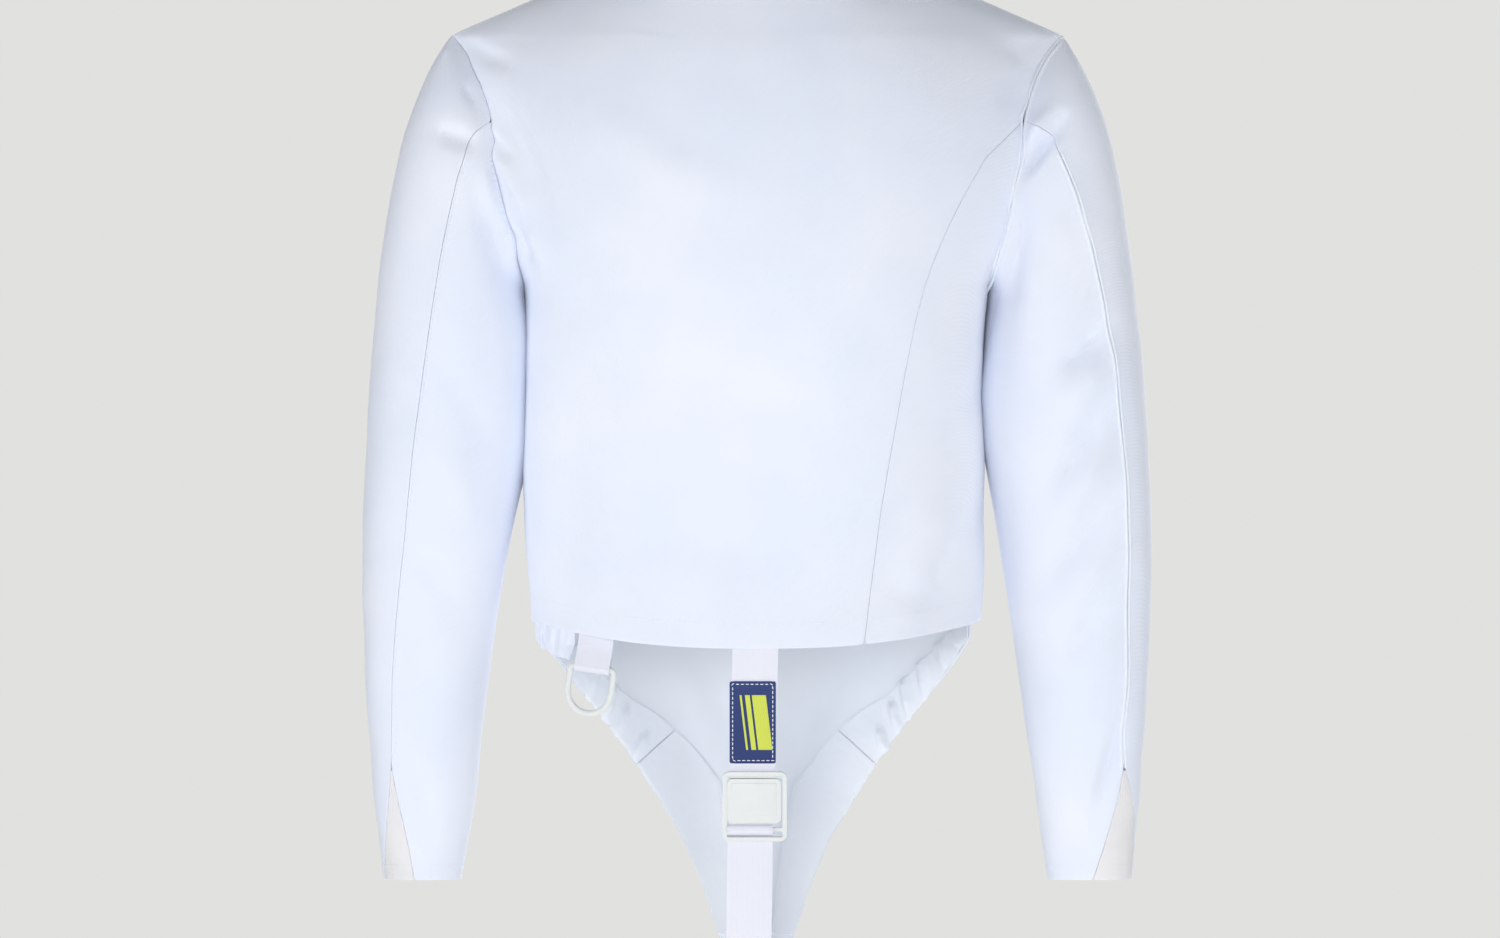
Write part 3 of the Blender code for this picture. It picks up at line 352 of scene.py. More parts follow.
FOLDS["right", "back"] = [
    (2.7, 12, [(-177, -165), (-175, -235), (-173, -318), (-175, -386)]),
    (-4.2, 6, [(-194, -109), (-209, -90), (-228, -66)]),
    (2.6, 8, [(-190, -92), (-206, -74), (-222, -56)]),
    (-4.5, 15, [(-192, -116), (-187, -160), (-181, -205), (-179, -240)]),
    (-3.0, 7, [(-226, -251), (-244, -238), (-264, -219)]),
    (2.2, 10, [(-226, -282), (-246, -262), (-262, -246)]),
    (-3.0, 8, [(-222, -338), (-240, -314), (-260, -282)]),
    (2.0, 10, [(-224, -368), (-244, -340), (-264, -312)]),
    (-2.6, 9, [(-216, -410), (-240, -382), (-268, -350)]),
    (1.6, 10, [(-222, -440), (-246, -412), (-270, -388)]),
    (-2.2, 6, [(-274, -524), (-266, -550), (-256, -582)]),
    (-1.6, 9, [(-232, -470), (-248, -448), (-264, -430)]),
]
FOLDS["right", "front"] = [
    (2.7, 12, [(-177, -165), (-175, -235), (-173, -318), (-175, -386)]),
    (-3.2, 9, [(-205, -96), (-226, -84), (-246, -72)]),
    (-2.8, 8, [(-194, -226), (-226, -240), (-262, -236)]),
    (2.4, 10, [(-196, -258), (-228, -270), (-264, -266)]),
    (-3.4, 9, [(-200, -292), (-232, -306), (-268, -298)]),
    (2.0, 9, [(-204, -322), (-236, -336), (-270, -330)]),
    (-2.6, 8, [(-210, -358), (-240, -370), (-270, -362)]),
    (-1.8, 9, [(-222, -470), (-246, -480), (-272, -470)]),
]
UNEVEN_DEPTH, UNEVEN_SIZE = 0.45 * MM, 42 * MM
FOLD_SHARE = {"body": 1.9, "left": 1.9, "right": 2.6}
TAPER_IN, TAPER_OUT, END_SHARE = 0.25, 0.35, 0.25  # of a fold's length, length and depth
FOLLOW_WIDTH, FOLLOW_FADE, ARMHOLE_FOOT = 8 * MM, 22 * MM, -200 * MM


def pressed_by(fold, x, z):
    """How far one fold moves each point, from its distance to the line and its place along it."""
    depth, width, line = fold
    line = np.array(line, float) * MM
    lengths = np.linalg.norm(np.diff(line, axis=0), axis=1)
    before = np.concatenate([[0], np.cumsum(lengths)])
    nearest = np.full(len(x), 1e9)
    along = np.zeros(len(x))
    for k, length in enumerate(lengths):
        run = (line[k + 1] - line[k]) / length
        at = np.clip((x - line[k][0]) * run[0] + (z - line[k][1]) * run[1], 0, length)
        gap = np.hypot(x - line[k][0] - at * run[0], z - line[k][1] - at * run[1])
        closer = gap < nearest
        nearest = np.where(closer, gap, nearest)
        along = np.where(closer, (before[k] + at) / before[-1], along)
    taper = np.clip(along / TAPER_IN, 0, 1) * np.clip((1 - along) / TAPER_OUT, 0, 1)
    return depth * MM * np.exp(-((nearest / (width * MM)) ** 2)) * (END_SHARE + (1 - END_SHARE) * taper)


SLICE = 40 * MM
BODY_WIDTH_TO_DEPTH = 1.4
BODY_TURN, SLEEVE_TURN = 30 * MM, 18 * MM  # how fast front turns to back at the sides


def middle_line(names):
    """The middle of a sleeve at each height, as rows of z, x and y."""
    points = np.concatenate([points_of(shells[name]) for name in names])
    rows = []
    for low in np.arange(points[:, 2].min(), points[:, 2].max(), SLICE):
        part = points[(points[:, 2] >= low) & (points[:, 2] < low + SLICE)]
        rows.append([part[:, 2].mean(), (part[:, 0].min() + part[:, 0].max()) / 2, part[:, 1].mean()])
    return np.array(rows)


SLEEVE_MIDDLES = {side: middle_line(names) for side, names in SLEEVE_PANELS.items()}


def outwards_from(region, points):
    """The direction away from the middle of the trunk or of a sleeve, and how far behind it a point is."""
    if region == "body":
        away = points[:, :2] * np.array([1.0, BODY_WIDTH_TO_DEPTH**2])
        behind = points[:, 1] / BODY_TURN
    else:
        middle = SLEEVE_MIDDLES[region]
        x = np.interp(points[:, 2], middle[:, 0], middle[:, 1])
        y = np.interp(points[:, 2], middle[:, 0], middle[:, 2])
        away = np.stack([points[:, 0] - x, points[:, 1] - y], axis=1)
        behind = away[:, 1] / SLEEVE_TURN
    away = away / np.maximum(np.linalg.norm(away, axis=1, keepdims=True), 1e-6)
    return np.concatenate([away, np.zeros((len(points), 1))], axis=1), np.clip(behind / 2 + 0.5, 0, 1)


def fold_moves(piece, region):
    """The points of a panel and how far the folds and the cloth's unevenness move each of them."""
    points = points_of(piece)
    away, behind = outwards_from(region, points)
    move = np.zeros(len(points))
    for face, share in (("back", behind), ("front", 1 - behind)):
        for fold in FOLDS[region, face]:
            move += pressed_by(fold, points[:, 0], points[:, 2]) * share
    move += UNEVEN_DEPTH * np.array([noise.noise(Vector(point / UNEVEN_SIZE)) for point in points])
    return points, away * (move * FOLD_SHARE[region])[:, None]


# the body first: near an armhole a sleeve follows the body's edge, so that the seam stays closed
body_at, body_moves = [], []
for node in BODY_PANELS:
    points, moves = fold_moves(shells[node], "body")
    set_points(shells[node], points + moves)
    body_at.append(points)
    body_moves.append(moves)
body_at, body_moves = np.concatenate(body_at), np.concatenate(body_moves)
edge = KDTree(len(body_at))
for k, point in enumerate(body_at):
    edge.insert(point, k)
edge.balance()

for side, names in SLEEVE_PANELS.items():
    for node in names:
        points, moves = fold_moves(shells[node], side)
        for k, point in enumerate(points):
            if point[2] > ARMHOLE_FOOT:
                _, nearest, gap = edge.find(point)
                share = math.exp(-((gap / FOLLOW_WIDTH) ** 2))
                share *= min(1.0, (point[2] - ARMHOLE_FOOT) / FOLLOW_FADE)
                moves[k] = moves[k] * (1 - share) + body_moves[nearest] * share
        set_points(shells[node], points + moves)

# inside, the body is lined with a plain bleached cotton
# painted light: this white is set lighter than the twill's, so the shaded inside faces look lit
painted_light_lining = woven("cotton_lining_painted_light", "#f2f7ff", "#eef4ff", 1.2 * MM, NO_TURN, 0.12, 0.9, 0.1, 1.2 * MM)
for node, shell in shells.items():
    shell.data.materials.append(twill)
    if node in TRUNK_PANELS:
        shell.data.materials.append(painted_light_lining)
        middles = np.array([face.center for face in shell.data.polygons])
        away, _ = outwards_from("body", middles)
        normals = np.array([face.normal for face in shell.data.polygons])
        inner = ((normals * away).sum(axis=1) < -0.5).astype(int)
        shell.data.polygons.foreach_set("material_index", inner)


# ---- seams and stitching -----------------------------------------------------
# Lockstitched seams in white polyester thread, 3.4 mm a stitch. The right armhole and elbow seams are
# felled and stand up as two cords side by side; the other seams are pressed open and only top-stitched.
THREAD = 0.45 * MM
STITCH_LENGTH, STITCH_PITCH = 2.6 * MM, 3.4 * MM
FELL_CORD, ELBOW_CORD, ELBOW_CORD_SUNK = 1.25 * MM, 1.125 * MM, 0.45
STAY_RADIUS, STAY_DEPTH = 4.0 * MM, 1.4 * MM
TWIST_PITCH, FINE_RELIEF = 0.5 * MM, 0.1 * MM
CLEAR_OF_EDGE = 6 * MM
SEAM_REACH, SEAM_OUTER = 2.4 * MM, 0.15  # a seam's points lie this near the next panel, facing out
BACK_ROW, SEAM_ROW, ARMHOLE_ROW = 1.6 * MM, 1.8 * MM, 2.2 * MM  # from a seam to its top stitches
ARMHOLE_CORDS, ELBOW_CORDS = (-0.7 * MM, 2.0 * MM), (-1.5 * MM, 1.3 * MM)
BACK_SEAM_TOP, SIDE_SEAM_TOP, SLEEVE_SEAM_TOP = -60 * MM, -185 * MM, -90 * MM
SHOULDER_FOOT, NECK_SIDE, ARMHOLE_MIDDLE = -5 * MM, 80 * MM, -95 * MM

thread, tree, shader, place = new_material("polyester_thread")
twist = add_node(
    tree, "ShaderNodeTexWave", {"Vector": place, "Scale": wave_scale(TWIST_PITCH)}, bands_direction="DIAGONAL"
).outputs["Fac"]
bump = add_node(tree, "ShaderNodeBump", {"Height": twist, "Strength": 0.3, "Distance": FINE_RELIEF})
set_inputs(shader, {"Base Color": linear("#eef0f8"), "Roughness": 0.55, "Normal": bump.outputs["Normal"]})


def surface_of(*pieces):
    """One searchable surface of several pieces."""
    corners, faces = [], []
    for piece in pieces:
        start = len(corners)
        corners += [vertex.co.copy() for vertex in piece.data.vertices]
        faces += [[start + v for v in face.vertices] for face in piece.data.polygons]
    return BVHTree.FromPolygons(corners, faces)


def even_line(points, pitch):
    """Evenly spaced points along a line, after smoothing it."""
    points = np.array(points, float)
    for _ in range(3):
        points[1:-1] = (points[:-2] + 2 * points[1:-1] + points[2:]) / 4
    along = np.concatenate([[0], np.cumsum(np.linalg.norm(np.diff(points, axis=0), axis=1))])
    count = max(2, int(along[-1] / pitch))
    at = np.linspace(0, along[-1], count)
    return np.stack([np.interp(at, along, points[:, k]) for k in range(3)], axis=1)


def thinned(points, gap):
    """The points that lie more than a gap from the one kept before them."""
    kept = [points[0]]
    for point in points[1:]:
        if np.linalg.norm(point - kept[-1]) > gap:
            kept.append(point)
    return kept


def seam_line(panel, other, region, key, keep, pitch=STITCH_PITCH):
    """The seam between two panels on their outer side, ordered by key, as even points on the first."""
    first, second = shells[panel], shells[other]
    points = points_of(first)
    normals = np.array([vertex.normal for vertex in first.data.vertices])
    away, _ = outwards_from(region, points)
    others = KDTree(len(second.data.vertices))
    for vertex in second.data.vertices:
        others.insert(vertex.co, vertex.index)
    others.balance()
    outer = np.nonzero((normals * away).sum(axis=1) > SEAM_OUTER)[0]
    near = [k for k in outer if others.find(points[k])[2] < SEAM_REACH and keep(points[k])]
    if len(near) < 4:
        return None
    found = points[near]
    found = found[np.argsort([key(point) for point in found])]
    return even_line(thinned(found, 2 * MM), pitch)


def beside(line, surface, distance, lift, towards, region="body"):
    """The line moved sideways over a surface's outer side, to the side that towards points at.

    Without a region the line lies on the surface already and stays where it is.
    """
    if region is None:
        met = [surface.find_nearest(Vector(point)) for point in line]
        return [place + normal * lift for place, normal, _, _ in met], [normal for _, normal, _, _ in met]
    moved, facing = [], []
    runs = np.gradient(line, axis=0)
    aways, _ = outwards_from(region, np.array(line))
    inwards = Vector(towards).normalized() * CLEAR_OF_EDGE
    for point, run, away in zip(line, runs, aways):
        _, normal, _, _ = surface.find_nearest(Vector(point) + inwards)
        if normal.dot(Vector(away)) < 0:
            normal = -normal
        side = Vector(run).cross(normal).normalized()
        if side.dot(Vector(towards)) < 0:
            side = -side
        above = Vector(point) + side * distance + normal * CLEAR_OF_EDGE
        place, facing_here, _, _ = surface.ray_cast(above, -normal, 2 * CLEAR_OF_EDGE)
        if place is None:
            place, facing_here = Vector(point) + side * distance, normal
        moved.append(place + facing_here * lift)
        facing.append(facing_here)
    return moved, facing


def strew(name, pattern, places, material):
    """One mesh of copies of a pattern, each placed by a matrix."""
    base = np.array([vertex.co for vertex in pattern.data.vertices])
    faces = [list(face.vertices) for face in pattern.data.polygons]
    corners, all_faces = [], []
    for k, place in enumerate(places):
        turned = np.array(place)
        corners.append(base @ turned[:3, :3].T + turned[:3, 3])
        all_faces += [[v + k * len(base) for v in face] for face in faces]
    mesh = bpy.data.meshes.new(name)
    mesh.from_pydata(np.concatenate(corners).tolist(), [], all_faces)
    piece = new_piece(name, mesh)
    smooth_shade(piece, ROUND_ANGLE)
    finished(piece, material)


def frames_along(line, facing):
    """A matrix for each point: x along the line, z out of the surface."""
    runs = np.gradient(np.array(line), axis=0)
    places = []
    for point, run, normal in zip(line, runs, facing):
        x = Vector(run).normalized()
        y = Vector(normal).cross(x).normalized()
        z = x.cross(y)
        place = Matrix((x, y, z)).transposed().to_4x4()
        place.translation = Vector(point)
        places.append(place)
    return places


def stitch_of(length, width, height):
    """One stitch to strew: a lens of thread that lies along x."""
    bpy.ops.mesh.primitive_uv_sphere_add(segments=6, ring_count=4, radius=0.5)
    lens = bpy.context.object
    lens.data.transform(Matrix.Diagonal((length, width, height, 1)) @ Matrix.Rotation(math.pi / 2, 4, "Y"))
    return lens


stitch = stitch_of(STITCH_LENGTH, THREAD, THREAD)


def sew(name, line, surface, distance=0.0, towards=(0, 0, 1), region="body"):
    """A row of stitches beside a line on a surface."""
    moved, facing = beside(line, surface, distance, THREAD * 0.15, towards, region)
    strew(name, stitch, frames_along(moved, facing), thread)


def cord_along(name, line, surface, distance, radius, towards, region, sunk=0.35):
    """A rounded raised edge that runs beside a seam."""
    moved, _ = beside(line, surface, distance, radius * (1 - 2 * sunk), towards, region)
    moved = even_line(moved, 3 * MM)
    curve = bpy.data.curves.new(name, "CURVE")
    curve.dimensions = "3D"
    curve.bevel_depth = radius
    curve.bevel_resolution = 3
    curve.use_fill_caps = True
    spline = curve.splines.new("POLY")
    spline.points.add(len(moved) - 1)
    for point, place in zip(spline.points, moved):
        point.co = (*place, 1)
    piece = new_piece(name, curve)
    select_only(piece)
    bpy.ops.object.convert(target="MESH")
    smooth_shade(piece, ROUND_ANGLE)
    # the cords take the lining's white, painted lighter than the twill as a painted highlight
    finished(piece, painted_light_lining)


def armhole_angle(point):
    """The angle round the armhole from the underarm, which is where the seam starts and ends."""
    return math.atan2(point[1], point[2] - ARMHOLE_MIDDLE) % (2 * math.pi) - math.pi


surfaces = {name: surface_of(shell) for name, shell in shells.items()}
sleeve_surfaces = {
    side: surface_of(*(shells[name] for name in names)) for side, names in SLEEVE_PANELS.items()
}
back_surface = surface_of(shells["back_panel"], shells["side_back_panel"])

# the shaped back seam, and the side and shoulder seams
line = seam_line("back_panel", "side_back_panel", "body", lambda p: -p[2], lambda p: p[2] < BACK_SEAM_TOP)
sew("back_seam_stitches", line, surfaces["side_back_panel"], BACK_ROW, (-1, 0, 0))
for name, panel, other, sign in (
    ("left_side_seam", "back_panel", "front_panel", 1),
    ("right_side_seam", "side_back_panel", "front_side_panel", -1),
):
    line = seam_line(
        panel, other, "body", lambda p: -p[2], lambda p, s=sign: p[2] < SIDE_SEAM_TOP and s * p[0] > 0
    )
    sew(name + "_stitches", line, surfaces[panel], SEAM_ROW, (0, 1, 0))
for name, other, sign in (("left_shoulder", "front_panel", 1), ("right_shoulder", "front_side_panel", -1)):
    line = seam_line(
        "back_panel",
        other,
        "body",
        lambda p, s=sign: s * p[0],
        lambda p, s=sign: p[2] > SHOULDER_FOOT and s * p[0] > NECK_SIDE,
    )
    if line is not None:
        sew(name + "_stitches", line, surfaces["back_panel"], SEAM_ROW, (0, 1, -0.3))

# armholes and sleeve seams
for side, sign in (("left", 1), ("right", -1)):
    top, under = SLEEVE_PANELS[side][:2]
    rows = []
    for panel in (top, under):
        for other in TRUNK_PANELS:
            line = seam_line(panel, other, side, armhole_angle, lambda p: p[2] > ARMHOLE_FOOT, 2 * MM)
            if line is not None:
                rows += list(line)
    rows.sort(key=armhole_angle)
    armhole = even_line(thinned(rows, 3.5 * MM), STITCH_PITCH)
    if side == "right":
        whole = surface_of(*shells.values())
        for k, off in enumerate(ARMHOLE_CORDS):
            cord_along(f"right_armhole_fell_{k}", armhole, whole, off, FELL_CORD, (sign, 0, -0.3), side)
    else:
        both = surface_of(shells[top], shells[under])
        sew("left_armhole_stitches", armhole, both, ARMHOLE_ROW, (sign, 0, -0.3), side)

    heights, _, depths = SLEEVE_MIDDLES[side].T
    for kind, behind in (("elbow", True), ("inner", False)):
        line = seam_line(
            under,
            top,
            side,
            lambda p: -p[2],
            lambda p, b=behind: (p[1] > np.interp(p[2], heights, depths)) == b and p[2] < SLEEVE_SEAM_TOP,
        )
        if line is None:
            continue
        surface = sleeve_surfaces[side]
        if side == "right" and kind == "elbow":
            for k, off in enumerate(ELBOW_CORDS):
                name = f"right_elbow_fell_{k}"
                cord_along(name, line, surface, off, ELBOW_CORD, (1, 0, 0), side, ELBOW_CORD_SUNK)
        else:
            sew(f"{side}_{kind}_seam_stitches", line, surface, SEAM_ROW, (-sign, 0, 0), side)
        if kind == "elbow":
            # a stay under the corner where this seam runs into the armhole
            corner = armhole[np.argmin(np.linalg.norm(armhole - line[0], axis=1))]
            bpy.ops.mesh.primitive_uv_sphere_add(segments=16, ring_count=8, radius=STAY_RADIUS)
            stay = bpy.context.object
            stay.name = f"{side}_armhole_stay"
            stay.data.transform(
                Matrix.Translation(Vector(corner) - Vector((0, STAY_DEPTH, 0)))
                @ Matrix.Diagonal((1, 0.25, 1.4, 1))
            )
            smooth_shade(stay, ROUND_ANGLE)
            finished(stay, twill)


# ---- hems --------------------------------------------------------------------
# The back hem, the cuffs and the collar's top are turned in and stitched down in one row each.
HEM_TURN, CUFF_TURN, COLLAR_TURN = 19 * MM, 11 * MM, 5 * MM
BACK_HEM = {"side": -441 * MM, "middle": -461 * MM, "half": 169.5 * MM, "curve": 2.5}
HEM_REACH = 166 * MM

hem_line = []
for x in np.linspace(-HEM_REACH, HEM_REACH, 120):
    drop = 1 - (abs(x) / BACK_HEM["half"]) ** BACK_HEM["curve"]
    z = BACK_HEM["side"] + (BACK_HEM["middle"] - BACK_HEM["side"]) * drop + HEM_TURN
    place, _, _, _ = back_surface.ray_cast(Vector((x, 0.4, z)), Vector((0, -1, 0)))
    if place:
        hem_line.append(place)
sew("back_hem_stitches", even_line(hem_line, STITCH_PITCH), back_surface, region=None)


def ring_round(surface, middle, height):
    """Points where a level ring meets the outside of a tube."""
    ring = []
    for k in range(91):
        angle = 2 * math.pi * k / 90
        out = Vector((math.cos(angle), math.sin(angle), 0))
        place, _, _, _ = surface.ray_cast(Vector((*middle, height)) + out * 0.3, -out)
        if place:
            ring.append(place)
    return ring


for side in ("left", "right"):
    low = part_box("sleeve_top_" + side)[0][2]
    middle = SLEEVE_MIDDLES[side]
    at = (np.interp(low, middle[:, 0], middle[:, 1]), np.interp(low, middle[:, 0], middle[:, 2]))
    ring = ring_round(sleeve_surfaces[side], at, low + CUFF_TURN)
    sew(side + "_cuff_stitches", even_line(ring, STITCH_PITCH), sleeve_surfaces[side], region=None)

top = points_of(shells["collar"])[:, 2].max()
collar_surface = surfaces["collar"]
collar_top = []
for k in range(181):
    angle = math.radians(120 + 2 * k)
    out = Vector((math.cos(angle), math.sin(angle), 0))
    for drop in range(0, 80):
        place, _, _, _ = collar_surface.ray_cast(Vector((0, 0, top - drop * MM)) + out * 0.3, -out, 0.3)
        if place:
            collar_top.append(place - Vector((0, 0, COLLAR_TURN)))
            break
sew("collar_top_stitches", even_line(collar_top, STITCH_PITCH), collar_surface, region=None)

for node, shell in shells.items():
    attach(shell, "jacket")
    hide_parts(node)


# ---- cuff gussets ------------------------------------------------------------
# A wedge of ribbed elastic sewn into the vent of each cuff, so that the hand goes through. Knitted in
# upright ribs of white yarn over rubber thread, it looks greyer and warmer than the twill.
RIB_PITCH, RIB_DEPTH = 2.2 * MM, 0.45 * MM
CUFF_RADIUS = 36 * MM
elastic = woven("ribbed_elastic", "#f2f1f4", "#e9e9ee", 1.1 * MM, (0.0, math.pi / 2, 0.0), 0.3, 0.9, 0.3)
for side in ("left", "right"):
    gusset = shells["cuff_gusset_" + side]
    gusset.data.materials.clear()
    gusset.data.materials.append(elastic)
    points = points_of(gusset)
    away, _ = outwards_from(side, points)
    across = np.arctan2(away[:, 1], away[:, 0]) * CUFF_RADIUS
    ribs = RIB_DEPTH * (0.5 + 0.5 * np.cos(2 * math.pi * across / RIB_PITCH))
    set_points(gusset, points - away * ribs[:, None])


# ---- leg bands ---------------------------------------------------------------
# Turned-in casings along the flap's two edges. The upper ones are gathered on elastic, so they pucker
# into uneven pleats across the band; the lower ones lie flat. Each is stitched along its inner edge.
BAND_FINE = 5
BAND_CLOTH, BAND_LIE = 0.9 * MM, 0.5 * MM
BAND_JOIN_X, BAND_JOIN_Z = 101 * MM, -541 * MM  # the bands meet here, cut square to the flap's edge
BAND_RUN, BAND_SLANT, BAND_DROP, BAND_FADE = -0.75, 0.9, 14 * MM, 30 * MM
BAND_WAVE, BAND_WAVE_SIZE = 0.3 * MM, 9 * MM
PLEAT_SHARE = 1.7
PLEATS = {  # as the folds above: depth, half width and course
    "right": [
        (2.4, 3.0, [(-124, -468), (-126, -482), (-128, -500)]),
        (2.8, 3.4, [(-112, -484), (-113, -498), (-116, -514)]),
        (2.2, 2.6, [(-103, -503), (-104, -514), (-108, -524)]),
        (2.4, 3.0, [(-93, -524), (-95, -534), (-99, -542)]),
        (1.8, 2.4, [(-137, -455), (-140, -466), (-143, -480)]),
        (1.6, 2.2, [(-148, -446), (-151, -456), (-154, -466)]),
        (-1.6, 2.6, [(-118, -474), (-120, -490), (-123, -504)]),
        (-1.8, 2.6, [(-107, -494), (-109, -508), (-112, -520)]),
        (-1.5, 2.4, [(-98, -512), (-100, -524), (-104, -534)]),
        (-1.4, 2.4, [(-131, -460), (-133, -474), (-136, -488)]),
    ],
    "left": [
        (2.0, 2.8, [(120, -470), (123, -484), (127, -500)]),
        (2.4, 3.0, [(108, -490), (111, -502), (115, -516)]),
        (1.8, 2.6, [(98, -508), (102, -520), (106, -530)]),
        (2.2, 2.6, [(133, -456), (137, -470), (141, -482)]),
        (2.0, 2.6, [(84, -528), (90, -540), (94, -548)]),
        (1.6, 2.2, [(147, -446), (151, -456), (155, -466)]),
        (-1.6, 2.6, [(114, -478), (117, -494), (121, -508)]),
        (-1.4, 2.4, [(92, -518), (96, -530), (100, -540)]),
    ],
}
flap_surface = surfaces["front_panel"]


def band_on_flap(node, side, pleats):
    """The casing's inner sheet, laid on the flap's inner face, puckered and given its thickness."""
    band = copy_of_node(node, node + "_cloth")
    select_only(band)
    bpy.ops.object.mode_set(mode="EDIT")
    bpy.ops.mesh.select_mode(type="FACE")
    bpy.ops.mesh.select_all(action="DESELECT")
    bpy.ops.object.mode_set(mode="OBJECT")
    widest = max(face.area for face in band.data.polygons)
    for face in band.data.polygons:
        face.select = face.normal.y < 0.3 or face.area < widest * 0.08
    bpy.ops.object.mode_set(mode="EDIT")
    bpy.ops.mesh.delete(type="FACE")
    bpy.ops.object.mode_set(mode="OBJECT")
    apply_modifier(band, "SUBSURF", levels=BAND_FINE, render_levels=BAND_FINE, subdivision_type="SIMPLE")
    points = points_of(band)
    outer = np.abs(points[:, 0]) - np.abs(BAND_JOIN_X - (points[:, 2] - BAND_JOIN_Z) * BAND_RUN)
    near_join = np.exp(-(((points[:, 2] - BAND_JOIN_Z) / BAND_FADE) ** 2))
    points[:, 2] -= (BAND_SLANT * outer + BAND_DROP) * near_join
    puckered = np.zeros(len(points))
    for fold in pleats:
        puckered += pressed_by(fold, points[:, 0], points[:, 2]) * PLEAT_SHARE
    laid = []
    for point, rise in zip(points, puckered):
        place, normal, _, _ = flap_surface.find_nearest(Vector(point))
        if normal.y < 0:
            normal = -normal
        wave = abs(BAND_WAVE * noise.noise(Vector(point / BAND_WAVE_SIZE)))
        laid.append(place + normal * (BAND_LIE + max(rise, -BAND_WAVE) + wave))
    set_points(band, np.array(laid))
    apply_modifier(band, "SOLIDIFY", thickness=BAND_CLOTH, offset=1.0)
    smooth_shade(band, FIRM_ANGLE)
    # the bands take the lining's white, painted lighter as painted light on the flap's shaded inner face
    finished(band, painted_light_lining, node)
    return band


bands = {}
for side in ("left", "right"):
    for kind in ("gathered", "flat"):
        node = f"leg_band_{kind}_{side}"
        bands[node] = band_on_flap(node, side, PLEATS[side] if kind == "gathered" else [])

# stitch rows along the inner edges of the bands, 2 mm in
for node, band in bands.items():
    low, high = (np.array(corner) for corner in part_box(node))
    surface = surface_of(band)
    sign = 1 if node.endswith("left") else -1
    points = points_of(band)
    edge = []
    for height in np.arange(low[2] + 3 * MM, high[2] - 3 * MM, 3 * MM):
        row = points[np.abs(points[:, 2] - height) < 2.2 * MM]
        if len(row):
            inner = row[np.argmin(row[:, 0] * sign)]
            edge.append((inner[0] + sign * 2.4 * MM, inner[1] + 2 * MM, height))
    if len(edge) > 5:
        sew(node + "_stitches", even_line(edge, STITCH_PITCH), surface, region=None)


# ---- gathered hem strip ------------------------------------------------------
# A short elastic casing sewn inside the back hem at the wearer's left, beside the D-ring's tab. It
# gathers the hem, and its pleats show below it.
GATHER_REACH = 0.14  # more of its width above the foot, so that it meets the tab and clears the D-ring
GATHER_FOOT, GATHER_SLANT = -468 * MM, 10 * MM
GATHER_PLEATS = [
    (-3.0, 1.7, [(170, -440), (168, -450), (164, -462)]),
    (2.2, 1.8, [(166, -442), (164, -452), (161, -464)]),
    (-3.4, 1.6, [(157, -440), (160, -452), (156, -470)]),
    (2.4, 2.0, [(153, -444), (155, -456), (151, -470)]),
    (1.2, 1.8, [(146, -446), (148, -458), (145, -472)]),
    (1.8, 2.0, [(141, -446), (142, -458), (139, -474)]),
]

gather = copy_of_node("hem_gather_left", "hem_gather_left_cloth")
finer(gather, 4, 0.7)
points = points_of(gather)
gather_end = points[:, 0].max()
share = np.clip((points[:, 2] - GATHER_FOOT) / GATHER_SLANT, 0, 1)
points[:, 0] -= (gather_end - points[:, 0]) * GATHER_REACH * share
for pleat in GATHER_PLEATS:
    points[:, 1] += pressed_by(pleat, points[:, 0], points[:, 2])
    points[:, 2] -= 0.5 * pressed_by(pleat, points[:, 0], points[:, 2])
set_points(gather, points)
finished(gather, twill, "hem_gather_left")


# ---- webbing straps ----------------------------------------------------------
# Polyester webbing 34 mm wide: the upper strap comes from under the back hem to the buckle, the lower
# one from round the buckle's bar between the legs to the flap's tip. Woven flat, with fine cross ribs.
WEAVE_PITCH, CROSS_PITCH, TAB_ROW_DROP = 2.4 * MM, 1.6 * MM, 22.5 * MM
webbing = woven("polyester_webbing", "#e9ebf7", "#e4e6f3", WEAVE_PITCH, NO_TURN, 0.35, 0.7, 0.15, CROSS_PITCH)


for node in ("crotch_strap_upper", "crotch_strap_lower", "dring_tab"):
    strap = copy_of_node(node, node + "_webbing")
    finer(strap, 3, 0.8)
    finished(strap, webbing, node)

# one row of stitches across the D-ring's tab, which is the last strap above
low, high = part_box("dring_tab")
surface = surface_of(strap)
row = []
for x in np.arange(low[0] + 2 * MM, high[0] - 2 * MM, STITCH_PITCH):
    place, _, _, _ = surface.ray_cast(Vector((x, 0.3, high[2] - TAB_ROW_DROP)), Vector((0, -1, 0)))
    if place:
        row.append(place)
sew("dring_tab_stitches_0", np.array(row), surface, region=None)


# ---- woven label -------------------------------------------------------------
# A damask-woven label folded in at its edges and stitched on the strap with white thread. Navy satin
# ground; plain lime bars stand for its ornament.
LABEL_BORDER, LABEL_RAISE = 2.3 * MM, 2.2 * MM
LABEL_STITCH, LABEL_STITCH_PITCH = (2.7 * MM, 0.75 * MM, 0.5 * MM), 3.6 * MM
LABEL_BARS = [(7.0, 10.5), (-1.6, 3.6), (-6.6, 1.5)]  # place across and width of each bar, in mm
BAR_LENGTH, BAR_SLANT, BAR_CLOTH, BAR_LIFT = 41 * MM, 0.12, 0.25 * MM, 0.12 * MM
SATIN_PITCH, YARN_PITCH, YARN_TURN = 1.2 * MM, 1.0 * MM, (0.0, 0.0, math.radians(45))
navy = woven("navy_label_satin", "#33437a", "#2c3b70", SATIN_PITCH, NO_TURN, 0.25, 0.6, 0.1, SATIN_PITCH)
lime_yarn = woven("lime_label_yarn", "#d6e160", "#ccd755", YARN_PITCH, YARN_TURN, 0.3, 0.6, 0.1)

